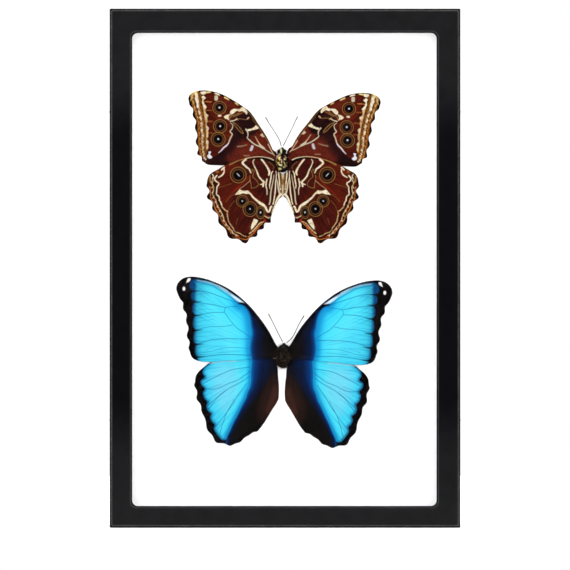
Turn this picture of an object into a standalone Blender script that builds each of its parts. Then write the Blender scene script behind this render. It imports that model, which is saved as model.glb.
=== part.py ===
"""Two spread butterflies in a shallow black card display box with a glass front.

The box is a card lid with a window, a glass pane behind the window, and a card tray that
nests in the lid from behind. White wadding in the tray presses both specimens to the glass.
The upper butterfly shows its underside and the lower one its blue upper side.

Metres. X runs to the right, Y to the back and Z up. The origin is at the middle of the
bottom edge, half way through the depth, so the box stands on Z = 0 and faces -Y.
Wing and body places are given in millimetres, as (x, z) seen from the front.
"""

import math

import bmesh
import bpy
import numpy as np
from mathutils import Vector

MM = 0.001

# The box.
BOX_WIDTH = 0.200
BOX_HEIGHT = 0.296
BOX_DEPTH = 0.025
CARD = 0.0015
RIM_LEFT = 0.0128
RIM_RIGHT = 0.0135
RIM_TOP = 0.0138
RIM_BOTTOM = 0.0123
WINDOW_CORNER = 0.0032
LID_DEPTH = 0.0242
EDGE_ROUND = 0.0004
PART_GAP = 0.0003

# The tray that slides into the lid, and the glass and wadding between them.
TRAY_SLIDE = 0.0004
TRAY_BACK = 0.002
GLASS_THICKNESS = 0.002

# Depths behind the front face. Wings lie in two layers, and a body fills both.
GLASS_FRONT = CARD + PART_GAP
TRAY_FRONT = GLASS_FRONT + GLASS_THICKNESS + PART_GAP
WING_THICKNESS = 0.00045
FRONT_LAYER = 0.0049
REAR_LAYER = FRONT_LAYER + WING_THICKNESS + 0.00035
WADDING_FRONT = REAR_LAYER + WING_THICKNESS + 0.00035
WADDING_ROUND = 0.0025

# Pins that hold the lid to the tray, two in each side wall.
PIN_HEIGHTS = (0.0605, 0.238)
PIN_DEPTH = 0.0145
PIN_SHAFT_RADIUS = 0.00035
PIN_HEAD_RADIUS = 0.0011
PIN_HEAD_HEIGHT = 0.0008
PIN_LENGTH = 0.009
PIN_HOLE_RADIUS = 0.0007

ANTENNA_RADIUS = 0.00017
ANTENNA_CLUB = 1.9

SPLINE_STEPS = 4
SCALLOP_STEPS = 6

# Left wings, in millimetres. The front edge runs from the root to the tip, the margin is
# the tips of the outer edge's lobes, and the rear edge runs back to the root.
UPPER_FOREWING = {
    "front": [(-5.7, 212.6), (-10, 222.4), (-15, 230.2), (-20, 237.4), (-25, 241.2), (-31, 244.9),
              (-37.5, 248.1), (-45, 249.7), (-51, 249.3), (-54.3, 247.4), (-55.1, 245.2)],
    "margin": [(-54.6, 241.8), (-52.5, 235.5), (-51.3, 228.3), (-50.8, 220), (-49.8, 213.4),
               (-47.4, 209.5)],
    "rear": [(-44.5, 207.4), (-39, 206.9), (-31, 206.9), (-20, 206.8), (-10, 207.4), (-5.7, 208.8)],
    "notch": 0.55,
}
UPPER_HINDWING = {
    "front": [(-5.2, 209.4), (-8, 210.9), (-12, 211.8), (-16, 212.0), (-20, 211.5), (-25, 210.3),
              (-30, 208.8), (-34, 207.1), (-39, 204.2), (-42.6, 202.1), (-44.2, 199.3)],
    "margin": [(-44.7, 195.2), (-44.1, 188.7), (-41.2, 182), (-37.5, 174), (-31.6, 165.7),
               (-22.6, 162.8), (-16.6, 166.6), (-12.6, 170.9), (-8.7, 174.6)],
    "rear": [(-7.4, 179), (-5.2, 184), (-2.7, 189.4), (-1.95, 192.5), (-1.9, 197), (-2.1, 201),
             (-3.4, 202.6), (-5.1, 204.6)],
    "notch": 0.75,
}
LOWER_FOREWING = {
    "front": [(-4.3, 102.6), (-10, 113.2), (-15, 120.2), (-20, 126.2), (-25, 130.9), (-30, 134.8),
              (-35, 137.8), (-40, 140), (-45, 141.8), (-50, 142.9), (-54.5, 143.2), (-58.5, 142.1),
              (-61.2, 139.6), (-62.2, 136.6), (-61.4, 133.4)],
    "margin": [(-60.3, 131), (-58.1, 125), (-56.4, 117.8), (-55.9, 109.3), (-55.0, 102)],
    "rear": [(-53.2, 97), (-50, 95.1), (-43, 94.3), (-35, 94.8), (-25, 95.4), (-15, 95.8),
             (-8, 96.3), (-4.3, 97.2)],
    "notch": 0.6,
}
LOWER_HINDWING = {
    "front": [(-5.7, 97.6), (-12, 99.4), (-25, 99), (-35, 97), (-42.8, 94.2), (-46, 91.8),
              (-49.3, 89), (-51, 86.3)],
    "margin": [(-51.8, 81.2), (-50.3, 73.3), (-47.6, 66), (-44.3, 55.6), (-39.2, 48.6), (-31, 46.6),
               (-25.6, 48.5), (-20.5, 52.5), (-15.6, 54.7)],
    "rear": [(-12.5, 58.7), (-7.5, 66.8), (-4, 72.5), (-3.5, 76), (-3.5, 81), (-4, 87),
             (-4.3, 91.5), (-5.7, 94.5)],
    "notch": 0.5,
}

# A right wing is the left one mirrored at MIRROR_X, then turned clockwise about a pivot, in
# degrees, and shifted, because the two sides aren't spread quite alike.
MIRROR_X = -1.0
WINGS = {
    "upper_butterfly_forewing": {
        "shape": UPPER_FOREWING, "depth": REAR_LAYER, "turn": 5.0, "pivot": (0, 222), "shift": (-0.3, 2.5),
    },
    "upper_butterfly_hindwing": {
        "shape": UPPER_HINDWING, "depth": FRONT_LAYER, "turn": 0.2, "pivot": (0, 200), "shift": (-0.5, 0.1),
    },
    "lower_butterfly_forewing": {
        "shape": LOWER_FOREWING, "depth": FRONT_LAYER, "turn": 2.5, "pivot": (2, 118), "shift": (0.5, 0),
    },
    "lower_butterfly_hindwing": {
        "shape": LOWER_HINDWING, "depth": REAR_LAYER, "turn": 1.35, "pivot": (5, 94), "shift": (-1.2, -0.7),
    },
}

# Antennae from the head to the tip, in millimetres.
ANTENNAE = {
    "upper_butterfly_antenna_left": [
        (-2.2, 217.9), (-3.0, 220.9), (-5.9, 226), (-8.9, 230.6), (-11.3, 234.6),
    ],
    "upper_butterfly_antenna_right": [
        (-1.0, 218.0), (0.2, 220.4), (2.4, 224.8), (4.8, 229.6), (7.3, 235),
    ],
    "lower_butterfly_antenna_left": [
        (-1.3, 105.9), (-3.2, 109.4), (-5.8, 114.7), (-7.9, 118.9), (-9.7, 122.2),
    ],
    "lower_butterfly_antenna_right": [
        (0.9, 105.5), (3.5, 107.6), (5.4, 110.7), (8.0, 116), (11, 121.2),
    ],
}

# Bodies, in millimetres: (x, depth behind the front face, z).
UPPER_THORAX = (-1.9, 7.6, 208.7)
UPPER_HEAD = (-1.8, 6.8, 214.7)
LOWER_THORAX = (-1.0, 7.6, 97.0)
LOWER_HEAD = (-0.6, 6.8, 102.9)
UPPER_THORAX_SIZE = (3.6, 3.5, 5.7)
LOWER_THORAX_SIZE = (3.6, 3.5, 6.2)
HEAD_SIZE = (2.0, 1.9, 1.9)
EYE_RADIUS = 1.05
EYE_OFFSET = (1.55, -0.5, 0.15)
POCKET_ROOM = (1.2, 1.4, 5.0)
LEG_RADIUS = 0.00035
LEG_HEIGHTS = ((2.6, 1.1, -1.3), (-0.3, -1.9, -4.0))


def new_collection(name):
    made = bpy.data.collections.new(name)
    bpy.context.scene.collection.children.link(made)
    return made


def clear_scene():
    for old in list(bpy.data.objects):
        bpy.data.objects.remove(old, do_unlink=True)
    for old in list(bpy.data.collections):
        bpy.data.collections.remove(old)


def material(name, colour, roughness, transmission=0.0, metallic=0.0):
    made = bpy.data.materials.new(name)
    made.use_nodes = True
    shader = made.node_tree.nodes["Principled BSDF"]
    shader.inputs["Base Color"].default_value = (*colour, 1.0)
    shader.inputs["Roughness"].default_value = roughness
    shader.inputs["Metallic"].default_value = metallic
    shader.inputs["Transmission Weight"].default_value = transmission
    return made


def depth_to_y(depth):
    """Y of a place that lies depth metres behind the box's front face."""
    return depth - BOX_DEPTH / 2


def place(x, depth, z):
    """A point in metres from millimetres: x, depth behind the front face, and z."""
    return Vector((x * MM, depth_to_y(depth * MM), z * MM))


def link(obj, collection, surface=None):
    collection.objects.link(obj)
    if surface:
        obj.data.materials.append(surface)
    return obj


def box(name, size, centre, collection, surface=None, rounding=0.0, segments=1):
    mesh = bpy.data.meshes.new(name)
    bm = bmesh.new()
    bmesh.ops.create_cube(bm, size=1.0)
    bmesh.ops.scale(bm, vec=size, verts=bm.verts)
    bm.to_mesh(mesh)
    bm.free()
    obj = link(bpy.data.objects.new(name, mesh), collection, surface)
    obj.location = centre
    if rounding:
        bevel = obj.modifiers.new("Bevel", "BEVEL")
        bevel.width = rounding
        bevel.segments = segments
    return obj


def cylinder(name, radius, start, end, collection, sides=16, end_radius=None):
    """A round bar, or a cone when end_radius differs, from start to end."""
    axis = end - start
    mesh = bpy.data.meshes.new(name)
    bm = bmesh.new()
    bmesh.ops.create_cone(
        bm,
        cap_ends=True,
        segments=sides,
        radius1=radius,
        radius2=radius if end_radius is None else end_radius,
        depth=axis.length,
    )
    bm.to_mesh(mesh)
    bm.free()
    obj = link(bpy.data.objects.new(name, mesh), collection)
    obj.location = (start + end) / 2
    obj.rotation_mode = "QUATERNION"
    obj.rotation_quaternion = axis.to_track_quat("Z", "Y")
    return obj


def ellipsoid(name, centre, half_size, collection, surface=None, rings=12, segments=20):
    mesh = bpy.data.meshes.new(name)
    bm = bmesh.new()
    bmesh.ops.create_uvsphere(bm, u_segments=segments, v_segments=rings, radius=1.0)
    bmesh.ops.scale(bm, vec=half_size, verts=bm.verts)
    bm.to_mesh(mesh)
    bm.free()
    mesh.shade_smooth()
    obj = link(bpy.data.objects.new(name, mesh), collection, surface)
    obj.location = centre
    return obj


def as_tool(obj):
    """Hides a cutter or an added shape from renders."""
    obj.hide_render = True
    obj.display_type = "WIRE"
    return obj


def boolean(target, tool, operation):
    modifier = target.modifiers.new(f"{operation.title()} {tool.name}", "BOOLEAN")
    modifier.operation = operation
    modifier.solver = "EXACT"
    modifier.object = as_tool(tool)


def spline_through(points, steps):
    """Points along a centripetal Catmull-Rom curve through the given points, steps to each span."""
    p = [np.array(q, float) for q in points]
    p = [2 * p[0] - p[1], *p, 2 * p[-1] - p[-2]]
    found = []
    for a, b, c, d in zip(p, p[1:], p[2:], p[3:]):
        t1 = math.sqrt(np.linalg.norm(b - a))
        t2 = t1 + math.sqrt(np.linalg.norm(c - b))
        t3 = t2 + math.sqrt(np.linalg.norm(d - c))
        for t in np.linspace(t1, t2, steps, endpoint=False):
            ab = (t1 - t) / t1 * a + t / t1 * b
            bc = (t2 - t) / (t2 - t1) * b + (t - t1) / (t2 - t1) * c
            cd = (t3 - t) / (t3 - t2) * c + (t - t2) / (t3 - t2) * d
            abc = (t2 - t) / t2 * ab + t / t2 * bc
            bcd = (t3 - t) / (t3 - t1) * bc + (t - t1) / (t3 - t1) * cd
            found.append((t2 - t) / (t2 - t1) * abc + (t - t1) / (t2 - t1) * bcd)
    return [*found, p[-2]]


def scalloped(tips, notch, steps):
    """The outer edge through its lobe tips, drawn in between each pair by a shallow notch."""
    edge = spline_through(tips, steps)
    found = []
    for i, point in enumerate(edge):
        ahead = edge[min(i + 1, len(edge) - 1)] - edge[max(i - 1, 0)]
        inward = np.array([-ahead[1], ahead[0]]) / np.linalg.norm(ahead)
        share = (i % steps) / steps
        found.append(point + inward * notch * (1 - math.cos(2 * math.pi * share)) / 2)
    return found


def wing_outline(shape):
    """The closed outline of a left wing in millimetres, anticlockwise from the root's front corner."""
    front = spline_through(shape["front"] + shape["margin"][:1], SPLINE_STEPS)[:-1]
    margin = scalloped(shape["margin"], shape["notch"], SCALLOP_STEPS)
    rear = spline_through(shape["margin"][-1:] + shape["rear"], SPLINE_STEPS)[1:]
    return np.array([*front, *margin, *rear])


def to_right(points, wing):
    """Left-wing points carried to the right side: mirrored, turned about the pivot and shifted."""
    x, z = (np.column_stack((2 * MIRROR_X - points[:, 0], points[:, 1])) - wing["pivot"]).T
    c, s = math.cos(math.radians(wing["turn"])), math.sin(math.radians(wing["turn"]))
    return np.column_stack((x * c + z * s, z * c - x * s)) + wing["pivot"] + wing["shift"]


def flat_curve(name, outline, thickness, depth, collection, surface=None):
    """A filled outline of (x, z) millimetres, thickness deep, whose front is depth behind the box's."""
    curve = bpy.data.curves.new(name, "CURVE")
    curve.dimensions = "2D"
    curve.fill_mode = "BOTH"
    curve.extrude = thickness / 2
    spline = curve.splines.new("POLY")
    spline.points.add(len(outline) - 1)
    for point, (x, z) in zip(spline.points, outline):
        point.co = (x * MM, z * MM, 0, 1)
    spline.use_cyclic_u = True
    obj = link(bpy.data.objects.new(name, curve), collection, surface)
    obj.rotation_euler = (math.pi / 2, 0, 0)
    obj.location.y = depth_to_y(depth + thickness / 2)
    return obj


def rounded_rectangle(low, high, radius, steps=8):
    """Points in millimetres round a rectangle from low (x, z) to high, whose corners are arcs."""
    found = []
    centres = (
        (high[0] - radius, high[1] - radius),
        (low[0] + radius, high[1] - radius),
        (low[0] + radius, low[1] + radius),
        (high[0] - radius, low[1] + radius),
    )
    for corner, (cx, cz) in enumerate(centres):
        for k in range(steps + 1):
            a = math.pi / 2 * (corner + k / steps)
            found.append(((cx + radius * math.cos(a)) / MM, (cz + radius * math.sin(a)) / MM))
    return found


def tube(name, route, radius, collection, surface=None):
    """A round tube with closed ends along a route of points."""
    curve = bpy.data.curves.new(name, "CURVE")
    curve.dimensions = "3D"
    curve.bevel_depth = radius
    curve.bevel_resolution = 1
    curve.use_fill_caps = True
    spline = curve.splines.new("POLY")
    spline.points.add(len(route) - 1)
    for point, place_on_route in zip(spline.points, route):
        point.co = (*place_on_route, 1)
    return link(bpy.data.objects.new(name, curve), collection, surface)


def curve_to_mesh(obj, collection):
    """Replaces a curve object with its closed mesh, so that a Boolean can use it."""
    bpy.context.view_layer.update()
    mesh = bpy.data.meshes.new_from_object(obj.evaluated_get(bpy.context.evaluated_depsgraph_get()))
    bm = bmesh.new()
    bm.from_mesh(mesh)
    bmesh.ops.remove_doubles(bm, verts=bm.verts, dist=1e-6)
    bmesh.ops.recalc_face_normals(bm, faces=bm.faces)
    bm.to_mesh(mesh)
    bm.free()
    made = link(bpy.data.objects.new(obj.name + "_mesh", mesh), collection)
    made.matrix_world = obj.matrix_world.copy()
    bpy.data.objects.remove(obj)
    return made


def pin_places():
    """Each side pin's name, the side it is on (-1 left, 1 right) and its height."""
    for side, side_name in ((-1, "left"), (1, "right")):
        for height, level in zip(PIN_HEIGHTS, ("lower", "upper")):
            yield f"side_pin_{side_name}_{level}", side, height


def drill_for_pins(target, tools, label):
    """Cuts the four side pins' holes through a wall or into the wadding."""
    for name, side, height in pin_places():
        outer = Vector((side * (BOX_WIDTH / 2 + 0.002), depth_to_y(PIN_DEPTH), height))
        inner = outer - Vector((side * (PIN_LENGTH + 0.004), 0, 0))
        drill = cylinder(f"{label}_{name}_drill", PIN_HOLE_RADIUS, outer, inner, tools, sides=12)
        boolean(target, drill, "DIFFERENCE")


def make_lid(parts, tools, surface):
    lid = box(
        "lid",
        (BOX_WIDTH, LID_DEPTH, BOX_HEIGHT),
        (0, depth_to_y(LID_DEPTH / 2), BOX_HEIGHT / 2),
        parts,
        surface,
        rounding=EDGE_ROUND,
        segments=2,
    )
    room = LID_DEPTH - CARD
    cavity = box(
        "lid_cavity",
        (BOX_WIDTH - 2 * CARD, room + 0.002, BOX_HEIGHT - 2 * CARD),
        (0, depth_to_y(CARD + (room + 0.002) / 2), BOX_HEIGHT / 2),
        tools,
    )
    boolean(lid, cavity, "DIFFERENCE")
    low = (RIM_LEFT - BOX_WIDTH / 2, RIM_BOTTOM)
    high = (BOX_WIDTH / 2 - RIM_RIGHT, BOX_HEIGHT - RIM_TOP)
    window = flat_curve("window", rounded_rectangle(low, high, WINDOW_CORNER), 3 * CARD, -CARD, tools)
    boolean(lid, curve_to_mesh(window, tools), "DIFFERENCE")
    drill_for_pins(lid, tools, "lid")
    return lid


def make_tray(parts, tools, surface):
    width = BOX_WIDTH - 2 * (CARD + TRAY_SLIDE)
    height = BOX_HEIGHT - 2 * (CARD + TRAY_SLIDE)
    depth = BOX_DEPTH - TRAY_FRONT
    tray = box(
        "base_tray",
        (width, depth, height),
        (0, depth_to_y(TRAY_FRONT + depth / 2), BOX_HEIGHT / 2),
        parts,
        surface,
        rounding=EDGE_ROUND,
    )
    room = depth - TRAY_BACK
    cavity = box(
        "tray_cavity",
        (width - 2 * CARD, room + 0.002, height - 2 * CARD),
        (0, depth_to_y(TRAY_FRONT + room / 2 - 0.001), BOX_HEIGHT / 2),
        tools,
    )
    boolean(tray, cavity, "DIFFERENCE")
    drill_for_pins(tray, tools, "tray")
    return tray


def make_glass(parts, surface):
    room = 2 * (CARD + PART_GAP)
    return box(
        "glass_pane",
        (BOX_WIDTH - room, GLASS_THICKNESS, BOX_HEIGHT - room),
        (0, depth_to_y(GLASS_FRONT + GLASS_THICKNESS / 2), BOX_HEIGHT / 2),
        parts,
        surface,
        rounding=0.0002,
    )


def make_wadding(parts, tools, surface):
    """The soft pad behind the specimens, with a hollow where each body presses in."""
    room = 2 * (2 * CARD + TRAY_SLIDE + PART_GAP)
    depth = BOX_DEPTH - TRAY_BACK - PART_GAP - WADDING_FRONT
    wadding = box(
        "wadding",
        (BOX_WIDTH - room, depth, BOX_HEIGHT - room),
        (0, depth_to_y(WADDING_FRONT + depth / 2), BOX_HEIGHT / 2),
        parts,
        surface,
        rounding=WADDING_ROUND,
        segments=3,
    )
    for name, middle, size in (
        ("upper_pocket", UPPER_THORAX, UPPER_THORAX_SIZE),
        ("lower_pocket", LOWER_THORAX, LOWER_THORAX_SIZE),
    ):
        x, deep, z = middle
        half = [(s + r) * MM for s, r in zip(size, POCKET_ROOM)]
        pocket = ellipsoid(name, place(x, deep, z + 2.0), half, tools, rings=14, segments=24)
        boolean(wadding, pocket, "DIFFERENCE")
    drill_for_pins(wadding, tools, "wadding")
    return wadding


def make_pins(parts, surface):
    """Domed steel pins through the lid's side walls into the tray and the wadding."""
    for name, side, height in pin_places():
        dome = [
            (PIN_HEAD_RADIUS * math.sin(a), PIN_HEAD_HEIGHT * math.cos(a))
            for a in np.linspace(0, math.pi / 2, 5)
        ]
        tip = -PART_GAP - PIN_LENGTH
        profile = [*dome, (PIN_SHAFT_RADIUS, 0), (PIN_SHAFT_RADIUS, tip + 0.001), (0, tip)]
        mesh = bpy.data.meshes.new(name)
        bm = bmesh.new()
        rim = [bm.verts.new((r, 0, h)) for r, h in profile]
        for a, b in zip(rim, rim[1:]):
            bm.edges.new((a, b))
        bm.to_mesh(mesh)
        bm.free()
        pin = link(bpy.data.objects.new(name, mesh), parts, surface)
        screw = pin.modifiers.new("Screw", "SCREW")
        screw.steps = screw.render_steps = 12
        screw.use_merge_vertices = True
        screw.merge_threshold = 0.00001
        pin.location = (side * (BOX_WIDTH / 2 + PART_GAP), depth_to_y(PIN_DEPTH), height)
        pin.rotation_euler = (0, side * math.pi / 2, 0)


def make_wings(parts, surfaces):
    for name, wing in WINGS.items():
        surface = surfaces[name.split("_")[0]]
        left = wing_outline(wing["shape"])
        right = to_right(left, wing)[::-1]
        flat_curve(f"{name}_left", left, WING_THICKNESS, wing["depth"], parts, surface)
        flat_curve(f"{name}_right", right, WING_THICKNESS, wing["depth"], parts, surface)


def make_antennae(parts, surface):
    depth = 1000 * (FRONT_LAYER + REAR_LAYER) / 2
    for name, points in ANTENNAE.items():
        route = [place(x, depth, z) for x, z in spline_through(points, 4)]
        antenna = tube(name, route, ANTENNA_RADIUS, parts, surface)
        for point in antenna.data.splines[0].points[-3:]:
            point.radius = ANTENNA_CLUB


def add_head(body, head, tools):
    """Joins the head, its eyes and the two palps that point forward to a thorax."""
    x, deep, z = head
    half = [s * MM for s in HEAD_SIZE]
    skull = ellipsoid(body.name + "_skull", place(x, deep, z), half, tools, rings=10, segments=16)
    boolean(body, skull, "UNION")
    dx, dy, dz = EYE_OFFSET
    for side in (-1, 1):
        eye = ellipsoid(
            f"{body.name}_eye_{side}",
            place(x + side * dx, deep + dy, z + dz),
            [EYE_RADIUS * MM] * 3,
            tools,
            rings=8,
            segments=12,
        )
        boolean(body, eye, "UNION")
        palp = cylinder(
            f"{body.name}_palp_{side}",
            0.7 * MM,
            place(x + side * 0.45, deep - 0.7, z + 0.4),
            place(x + side * 0.3, deep - 1.2, z + 2.5),
            tools,
            sides=8,
            end_radius=0.25 * MM,
        )
        boolean(body, palp, "UNION")


def add_folded_legs(body, middle, tools):
    """Two pairs of legs lie folded on the underside: a thigh out from the middle, a shin back in."""
    x, deep, z = middle
    for pair, (hip_z, knee_z, foot_z) in enumerate(LEG_HEIGHTS):
        for side in (-1, 1):
            joints = (
                place(x + side * 0.6, deep - 2.9, z + hip_z),
                place(x + side * 2.5, deep - 2.35, z + knee_z),
                place(x + side * 1.1, deep - 2.8, z + foot_z),
            )
            leg = tube(f"{body.name}_leg_{pair}_{side}", joints, LEG_RADIUS, tools)
            boolean(body, curve_to_mesh(leg, tools), "UNION")


def make_bodies(parts, tools, surfaces):
    for name, middle, size, head in (
        ("upper", UPPER_THORAX, UPPER_THORAX_SIZE, UPPER_HEAD),
        ("lower", LOWER_THORAX, LOWER_THORAX_SIZE, LOWER_HEAD),
    ):
        body = ellipsoid(
            f"{name}_butterfly_body",
            place(*middle),
            [s * MM for s in size],
            parts,
            surfaces[name],
            rings=14,
            segments=20,
        )
        if name == "upper":
            add_folded_legs(body, middle, tools)
        add_head(body, head, tools)


def main():
    clear_scene()
    parts = new_collection("framed_butterflies")
    tools = new_collection("cutters")
    black_card = material("black_card", (0.012, 0.012, 0.013), 0.55)
    make_lid(parts, tools, black_card)
    make_tray(parts, tools, black_card)
    make_glass(parts, material("clear_glass", (1.0, 1.0, 1.0), 0.02, transmission=1.0))
    make_wadding(parts, tools, material("white_wadding", (0.9, 0.9, 0.9), 0.95))
    make_pins(parts, material("pin_steel", (0.25, 0.25, 0.26), 0.35, metallic=1.0))
    wings = {
        "upper": material("brown_wing", (0.1, 0.02, 0.012), 0.6),
        "lower": material("blue_wing", (0.03, 0.45, 0.8), 0.4),
    }
    make_wings(parts, wings)
    bodies = {
        "upper": material("olive_body", (0.2, 0.14, 0.05), 0.8),
        "lower": material("black_body", (0.012, 0.009, 0.008), 0.8),
    }
    make_bodies(parts, tools, bodies)
    make_antennae(parts, material("antenna", (0.02, 0.016, 0.014), 0.5))


main()
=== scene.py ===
"""The framed butterfly specimen: paper box, glass, wadding, pins and the two painted butterflies."""

import math

import bmesh
import bpy
import numpy as np
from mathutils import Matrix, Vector, noise
from mathutils.geometry import delaunay_2d_cdt


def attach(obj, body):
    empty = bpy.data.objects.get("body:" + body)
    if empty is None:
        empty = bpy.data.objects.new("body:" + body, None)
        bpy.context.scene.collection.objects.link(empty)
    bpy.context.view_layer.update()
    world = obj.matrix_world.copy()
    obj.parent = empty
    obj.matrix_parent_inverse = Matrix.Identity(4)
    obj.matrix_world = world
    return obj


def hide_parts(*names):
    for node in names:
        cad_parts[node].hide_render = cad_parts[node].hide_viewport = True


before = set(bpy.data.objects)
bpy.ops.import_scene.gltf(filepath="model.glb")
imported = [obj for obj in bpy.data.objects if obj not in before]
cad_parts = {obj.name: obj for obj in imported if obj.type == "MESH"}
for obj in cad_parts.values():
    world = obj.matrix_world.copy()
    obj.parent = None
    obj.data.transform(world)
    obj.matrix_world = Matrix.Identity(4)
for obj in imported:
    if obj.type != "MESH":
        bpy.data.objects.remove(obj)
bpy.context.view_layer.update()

# Lengths are in millimetres: x across the box, z up from its foot, depth behind its front face.
MM = 0.001
BOX_WIDTH = 200.0
BOX_HEIGHT = 296.0
BOX_DEPTH = 25.0

# How much of a screen colour a pigment keeps so that it shows as that colour in the studio,
# and the haze that the glass lays over it.
PAINT = 0.61
HAZE = 0.0025
BLACK = (0.0, 0.0, 0.0)


# Shader maths.

class Socket:
    """One value in a finish, so that shader maths reads as plain expressions."""

    def __init__(self, finish, link):
        self.finish = finish
        self.link = link

    def maths(self, operation, *values):
        return self.finish.node("ShaderNodeMath", {"operation": operation}, values)

    def __add__(self, other):
        return self.maths("ADD", self, other)

    def __radd__(self, other):
        return self.maths("ADD", other, self)

    def __sub__(self, other):
        return self.maths("SUBTRACT", self, other)

    def __rsub__(self, other):
        return self.maths("SUBTRACT", other, self)

    def __mul__(self, other):
        return self.maths("MULTIPLY", self, other)

    def __rmul__(self, other):
        return self.maths("MULTIPLY", other, self)

    def __truediv__(self, other):
        return self.maths("DIVIDE", self, other)

    def step(self, low, high):
        """0 below low and 1 above high, smooth between."""
        values = {"Value": self, "From Min": low, "From Max": high}
        return self.finish.node("ShaderNodeMapRange", {"interpolation_type": "SMOOTHSTEP"}, values)


class Finish:
    """A material whose nodes feed one Principled shader."""

    def __init__(self, name, **constants):
        self.material = bpy.data.materials.new(name)
        self.material.use_nodes = True
        self.tree = self.material.node_tree
        self.shader = self.tree.nodes["Principled BSDF"]
        for socket, value in constants.items():
            self.shader.inputs[socket.replace("_", " ")].default_value = value

    def node(self, kind, settings=(), values=(), output=0):
        """Adds a node: its settings first, then its sockets' values or links."""
        made = self.tree.nodes.new(kind)
        for setting, value in dict(settings).items():
            if setting == "stops":
                self.set_stops(made.color_ramp, value)
            else:
                setattr(made, setting, value)
        named = values.items() if isinstance(values, dict) else enumerate(values)
        for socket, value in named:
            self.feed(made.inputs[socket], value)
        return Socket(self, made.outputs[output])

    def set_stops(self, ramp, stops):
        while len(ramp.elements) < len(stops):
            ramp.elements.new(1.0)
        for element, (position, colour) in zip(ramp.elements, stops):
            element.position = position
            element.color = (*colour, 1.0)

    def feed(self, target, value):
        if isinstance(value, Socket):
            self.tree.links.new(value.link, target)
        elif isinstance(value, tuple) and len(value) == 3 and target.type == "RGBA":
            target.default_value = (*value, 1.0)
        else:
            target.default_value = value

    def mix(self, share, under, over):
        """The colour over laid on the colour under by share, through the mixer's colour sockets."""
        values = {0: share, 6: under, 7: over}
        return self.node("ShaderNodeMix", {"data_type": "RGBA"}, values, output=2)

    def ramp(self, value, *stops):
        return self.node("ShaderNodeValToRGB", {"stops": stops}, [value])

    def attribute(self, name):
        return self.node("ShaderNodeAttribute", {"attribute_name": name}, output="Fac")

    def place(self):
        """Places on the piece, in millimetres."""
        here = self.node("ShaderNodeTexCoord", output="Object")
        values = {0: here, "Scale": 1 / MM}
        return self.node("ShaderNodeVectorMath", {"operation": "SCALE"}, values)

    def axis(self, where, name):
        """One of the three numbers of a place or a direction."""
        return self.node("ShaderNodeSeparateXYZ", {}, [where], output=name)

    def grain(self, size, detail=3.0, where=None, roughness=0.5):
        """Noise from 0 to 1, about size millimetres from one grain to the next."""
        values = {"Vector": where or self.place(), "Scale": 1 / size, "Detail": detail}
        return self.node("ShaderNodeTexNoise", {}, {**values, "Roughness": roughness})

    def rays(self, angle, distance):
        """Noise drawn out along lines that fan from a wing's root."""
        fan = self.node("ShaderNodeCombineXYZ", {}, [angle, distance])
        return self.grain(1.0, 4.0, where=fan, roughness=0.6)

    def stretched(self, x, y, z):
        """Places in millimetres, scaled along each axis for drawn-out grain."""
        values = {0: self.place(), 1: (x, y, z)}
        return self.node("ShaderNodeVectorMath", {"operation": "MULTIPLY"}, values)

    def colour(self, value):
        self.feed(self.shader.inputs["Base Color"], value)

    def roughness(self, value):
        self.feed(self.shader.inputs["Roughness"], value)

    def relief(self, height, depth, strength=1.0):
        """Bump of a height from 0 to 1 that stands depth millimetres tall."""
        values = {"Strength": strength, "Distance": depth * MM, "Height": height}
        self.feed(self.shader.inputs["Normal"], self.node("ShaderNodeBump", {}, values))


def screen_colour(r, g, b):
    """The light that a colour on a screen stands for, from its channels of 0 to 255."""
    shares = [c / 255 for c in (r, g, b)]
    return tuple(c / 12.92 if c < 0.0404 else ((c + 0.055) / 1.055) ** 2.4 for c in shares)


def painted(r, g, b):
    """A pigment that shows as this screen colour under the studio light."""
    return tuple(max(0.0, c - HAZE) * PAINT for c in screen_colour(r, g, b))


# Meshes.

def show(made):
    bpy.context.scene.collection.objects.link(made)


def piece(name, points, faces, finish, slot, *nodes, outwards=True):
    """Makes a mesh of (x, depth, z) points that rides with the box and stands for CAD nodes."""
    mesh = bpy.data.meshes.new(name)
    metres = (np.asarray(points, float) - (0, BOX_DEPTH / 2, 0)) * MM
    mesh.from_pydata(metres.tolist(), [], [tuple(int(i) for i in face) for face in faces])
    mesh.validate()
    mesh.shade_smooth()
    if outwards:
        turn_outwards(mesh)
    mesh.materials.append(finish.material)
    made = bpy.data.objects.new(name, mesh)
    show(made)
    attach(made, "root")
    if nodes:
        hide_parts(*nodes)
    return made


def turn_outwards(mesh):
    """Turns a closed mesh's faces outwards."""
    bm = bmesh.new()
    bm.from_mesh(mesh)
    bmesh.ops.recalc_face_normals(bm, faces=bm.faces)
    bm.to_mesh(mesh)
    bm.free()


def write_shares(mesh, shares):
    """Keeps a number for each vertex under each name, for the finish to read."""
    for name, values in shares.items():
        held = mesh.attributes.new(name, "FLOAT", "POINT")
        held.data.foreach_set("value", np.asarray(values, np.float32))


def rings_to_faces(rings, count, closed=False):
    """Quads between neighbouring rings of count points each, the last joined to the first if closed."""
    faces = []
    for a in range(rings if closed else rings - 1):
        b = (a + 1) % rings
        for k in range(count):
            j = (k + 1) % count
            faces.append((a * count + k, a * count + j, b * count + j, b * count + k))
    return faces


def around(count):
    """The sine and cosine of even turns round a circle."""
    turns = [2 * math.pi * k / count for k in range(count)]
    return [(math.cos(a), math.sin(a)) for a in turns]


# Routes and outlines.

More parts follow.
